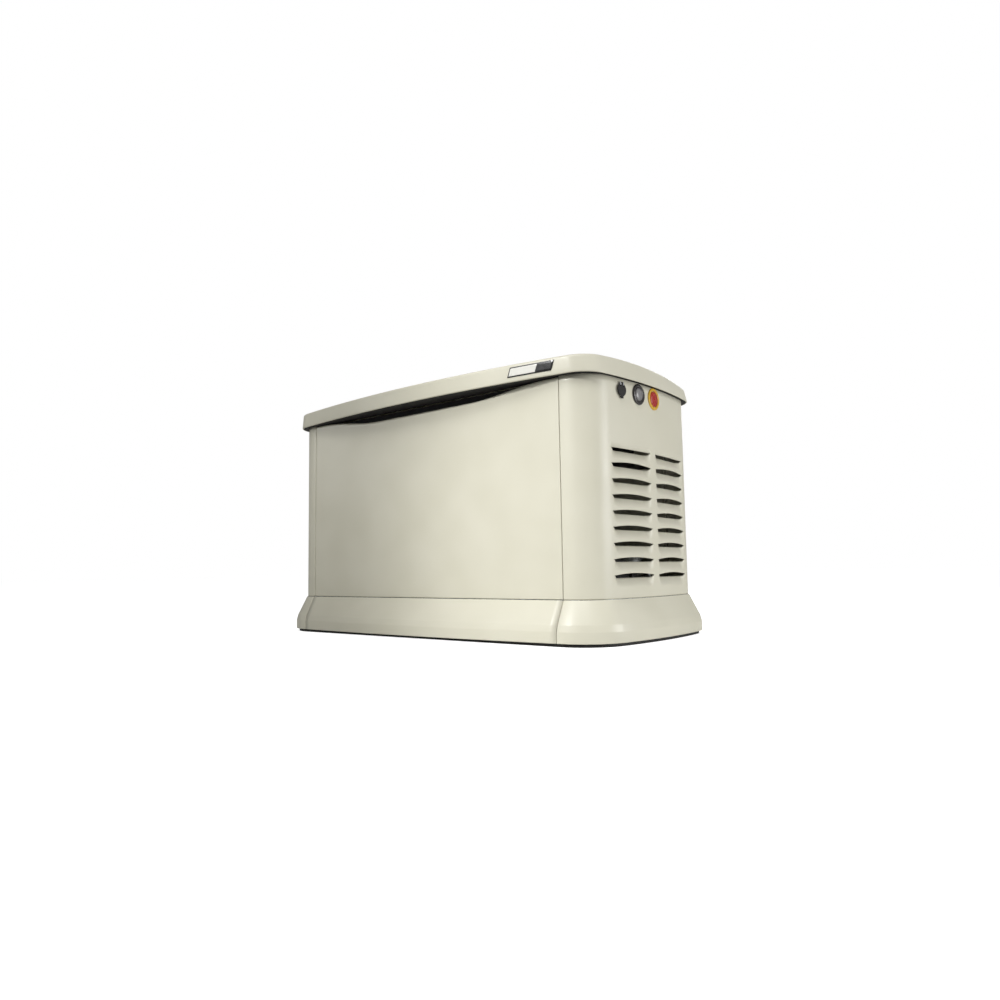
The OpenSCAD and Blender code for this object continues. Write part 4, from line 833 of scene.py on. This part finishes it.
def arc(centre, radius, start, stop, steps, inset):
    """Points of an arc, without its last, drawn in by inset."""
    turns = [start + (stop - start) * k / steps for k in range(steps)]
    x, y = centre
    return [Vector((x + (radius - inset) * math.cos(t), y + (radius - inset) * math.sin(t))) for t in turns]


def lid_outline(inset):
    """The lid's plan, anticlockwise from the middle of the brow."""
    quarter = -math.pi / 2
    right = arc((0, BROW_CENTRE_Y), BROW_R, quarter, quarter + BROW_TURN, BROW_STEPS, inset)
    right += arc(front_corner, LID_CORNER_R, quarter + BROW_TURN, FRONT_TURN, LID_CORNER_STEPS, inset)
    right += arc((BOW_X, 0), LID_END_R, FRONT_TURN, REAR_TURN, LID_END_STEPS, inset)
    right += arc(rear_corner, LID_CORNER_R, REAR_TURN, math.pi / 2, LID_CORNER_STEPS, inset)
    right += [Vector((rear_corner.x * (1 - k / REAR_STEPS), LID_REAR - inset)) for k in range(REAR_STEPS)]
    middle = [Vector((0, LID_REAR - inset))]
    return right + middle + [Vector((-p.x, p.y)) for p in reversed(right[1:])]


def crown(place):
    """Height of the lid's top over a place in plan."""
    run = HALF_D + BROW - LID_EDGE_R - CROWN_LEAD
    front = FALL_FRONT * ((place.y + CROWN_LEAD) / run) ** 2
    return TOP_Z + LID_HEIGHT - front - FALL_END * (place.x / HALF_L) ** 2


def lean(point):
    """Draws the lid's two ends in as they rise, and leaves its long middle alone."""
    x, y, z = point
    rise = (z - TOP_Z) / LID_HEIGHT
    share = max(0.0, abs(x) - LEAN_START) / (LID_HALF - LEAN_START)
    return x - math.copysign(LEAN * rise * share * share, x), y, z


def lid_rings():
    """The lid's skin in rings, from the foot of its rim to the middle of its top."""
    rings = []
    for k in range(LID_FOOT_STEPS + 1):
        turn = math.pi / 2 * k / LID_FOOT_STEPS
        inset = LID_FOOT_R * (1 - math.sin(turn))
        height = TOP_Z + LID_FOOT_R * (1 - math.cos(turn))
        rings.append([(p.x, p.y, height) for p in lid_outline(inset)])
    for share in RIM_SHARES:
        low = TOP_Z + LID_FOOT_R
        rings.append([(p.x, p.y, low + (crown(p) - LID_EDGE_R - low) * share) for p in lid_outline(0)])
    for k in range(LID_EDGE_STEPS + 1):
        turn = math.pi / 2 * k / LID_EDGE_STEPS
        inset = LID_EDGE_R * (1 - math.cos(turn))
        drop = LID_EDGE_R * (1 - math.sin(turn))
        rings.append([(p.x, p.y, crown(p) - drop) for p in lid_outline(inset)])
    top = lid_outline(LID_EDGE_R)
    for scale in TOP_SCALES:
        rings.append([(p.x * scale, p.y * scale, crown(p * scale)) for p in top])
    return rings


def lid_shell():
    rings = lid_rings()
    length = len(rings[0])
    points = [lean(p) for ring in rings for p in ring] + [(0, 0, crown(Vector((0, 0))))]
    faces = row_faces(len(rings), length, closed=True)
    last = (len(rings) - 1) * length
    faces += [(last + j, last + (j + 1) % length, len(points) - 1) for j in range(length)]
    return points, faces


lid_points, lid_faces = lid_shell()
lid = mesh_object("lid_shell", lid_points, lid_faces, bisque, "lid", ("lid",))
thicken(lid, LID_SKIN, BEND_SHARP)
print("lid:", len(lid_points), "points, brow", round(BROW * 1000), "mm proud")

# %% [markdown]
# A skirt of four mouldings hides the base. Its section slopes out from the wall, turns down at
# a soft crease and ends in an upright band. One section is drawn with its bends rounded, and
# the same section is carried along a straight line for the front and round the plan for an end.
# The front and rear skirts swell a little in the middle, as the lid's brow does.

# %% The base skirt
SKIRT_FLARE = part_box("fascia_right")[1].x - HALF_L
SKIRT_BOW = -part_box("fascia_front")[0].y - HALF_D - SKIRT_FLARE
SKIRT_SEAM = SEAM_X + 0.0015
CREASE_Z = 0.050
SKIRT_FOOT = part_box("fascia_right")[0].z
SKIRT_SKIN = 0.003
JOINT_GAP = 0.0009
SKIRT_BENDS = (0.0015, 0.014, 0.010, 0.002)
SKIRT_BEND_STEPS, SKIRT_STEPS, SKIRT_TURN_STEPS = 6, 48, 20
SKIRT_WELD = 1e-7


def skirt_section(extra):
    """(distance out from the wall, height) from the wall down to the foot, bends rounded."""
    out = SKIRT_FLARE + extra
    corners = [
        (0.0002, BASE_Z - 0.001), (0.003, BASE_Z - 0.001), (out - 0.0045, CREASE_Z + 0.003),
        (out, CREASE_Z - 0.014), (out, SKIRT_FOOT + 0.0005), (out - 0.004, SKIRT_FOOT + 0.0005),
    ]
    return fillet(corners, SKIRT_BENDS, SKIRT_BEND_STEPS)


def skirt_row(place, out, extra):
    return [(place.x + out.x * d, place.y + out.y * d, z) for d, z in skirt_section(extra)]


def long_skirt_rows():
    """The front skirt, from left to right."""
    half = SKIRT_SEAM - JOINT_GAP
    rows = []
    for k in range(SKIRT_STEPS + 1):
        x = -half + 2 * half * k / SKIRT_STEPS
        extra = max(0.0, SKIRT_BOW * (1 - (x / SEAM_X) ** 2))
        rows.append(skirt_row(Vector((x, -HALF_D)), Vector((0, -1)), extra))
    return rows


def end_skirt_rows():
    """The right skirt, from the front seam round the end to the rear seam."""
    flat = CORNER_X - SKIRT_SEAM - JOINT_GAP
    reach = BOW_RUN + CORNER_RUN + flat
    steps = SKIRT_TURN_STEPS
    runs = [-reach] + [-BOW_RUN - CORNER_RUN * (1 - k / steps) for k in range(steps)]
    runs += [-BOW_RUN + 2 * BOW_RUN * k / steps for k in range(steps)]
    runs += [BOW_RUN + CORNER_RUN * k / steps for k in range(steps + 1)] + [reach]
    rows = []
    for run in runs:
        inside = min(abs(run), BOW_RUN + CORNER_RUN)
        place, out = wall_point(math.copysign(inside, run))
        place.x -= abs(run) - inside
        rows.append(skirt_row(place, out, 0.0))
    return rows


def skirt(name, rows, turned, node):
    sign = -1 if turned else 1
    points = [(sign * x, sign * y, z) for row in rows for x, y, z in row]
    piece = mesh_object(name, points, row_faces(len(rows), len(rows[0])), bisque, "root", (node,))
    merge_points(piece.data, SKIRT_WELD)
    return thicken(piece, SKIRT_SKIN, BEND_SHARP)


skirt("skirt_front", long_skirt_rows(), False, "fascia_front")
skirt("skirt_rear", long_skirt_rows(), True, "fascia_rear")
skirt("skirt_right", end_skirt_rows(), False, "fascia_right")
skirt("skirt_left", end_skirt_rows(), True, "fascia_left")
print("skirt: flares", round(SKIRT_FLARE * 1000), "mm and swells", round(SKIRT_BOW * 1000), "mm")

# %% [markdown]
# A plate on the brow gives the machine's name. It is a leaning panel in two fields, white and
# black, inside a black border, printed on a domed label. A real name isn't shown. Each layer
# is a small grid bent round the brow's arc and set a fraction of a millimetre over the last.

# %% The name plate
plate_low, plate_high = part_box("lid_badge")
PLATE_LEAN = 0.009
PLATE_BORDER = 0.003
PLATE_SPLIT = 0.655
PLATE_SKIN, PLATE_EDGE_MM, PLATE_SHARP = 0.0007, 0.2, 30
BORDER_PROUD, FIELD_PROUD = 0.0012, 0.0015
PLATE_COLUMNS, PLATE_ROWS = 16, 6
PLATE_TURN_LOW = math.asin(plate_low.x / BROW_R)
PLATE_TURN_HIGH = math.asin(plate_high.x / BROW_R)


def plate_layer(name, share_low, share_high, border, proud, material):
    """A leaning field of the plate, from one share of its length to another."""
    height = plate_high.z - plate_low.z
    length = BROW_R * (PLATE_TURN_HIGH - PLATE_TURN_LOW) - PLATE_LEAN
    points = []
    for i in range(PLATE_ROWS + 1):
        up = i / PLATE_ROWS
        z = plate_low.z + border + (height - 2 * border) * up
        lean = PLATE_LEAN * (z - plate_low.z) / height
        for j in range(PLATE_COLUMNS + 1):
            start, stop = length * share_low + border, length * share_high - border
            along = PLATE_TURN_LOW + (lean + start + (stop - start) * j / PLATE_COLUMNS) / BROW_R
            radius = BROW_R + proud
            points.append((radius * math.sin(along), BROW_CENTRE_Y - radius * math.cos(along), z))
    faces = row_faces(PLATE_ROWS + 1, PLATE_COLUMNS + 1)
    piece = mesh_object(name, points, faces, material, "lid")
    return thicken(piece, PLATE_SKIN, PLATE_SHARP, PLATE_EDGE_MM)


plate = plate_layer("name_plate_border", 0, 1, 0, BORDER_PROUD, badge_black)
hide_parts("lid_badge")
plate_layer("name_plate_white_field", 0, PLATE_SPLIT, PLATE_BORDER, FIELD_PROUD, badge_white)
plate_layer("name_plate_black_field", PLATE_SPLIT, 1, PLATE_BORDER, FIELD_PROUD, badge_black)
print("name plate:", round((plate_high.x - plate_low.x) * 1000), "mm long")
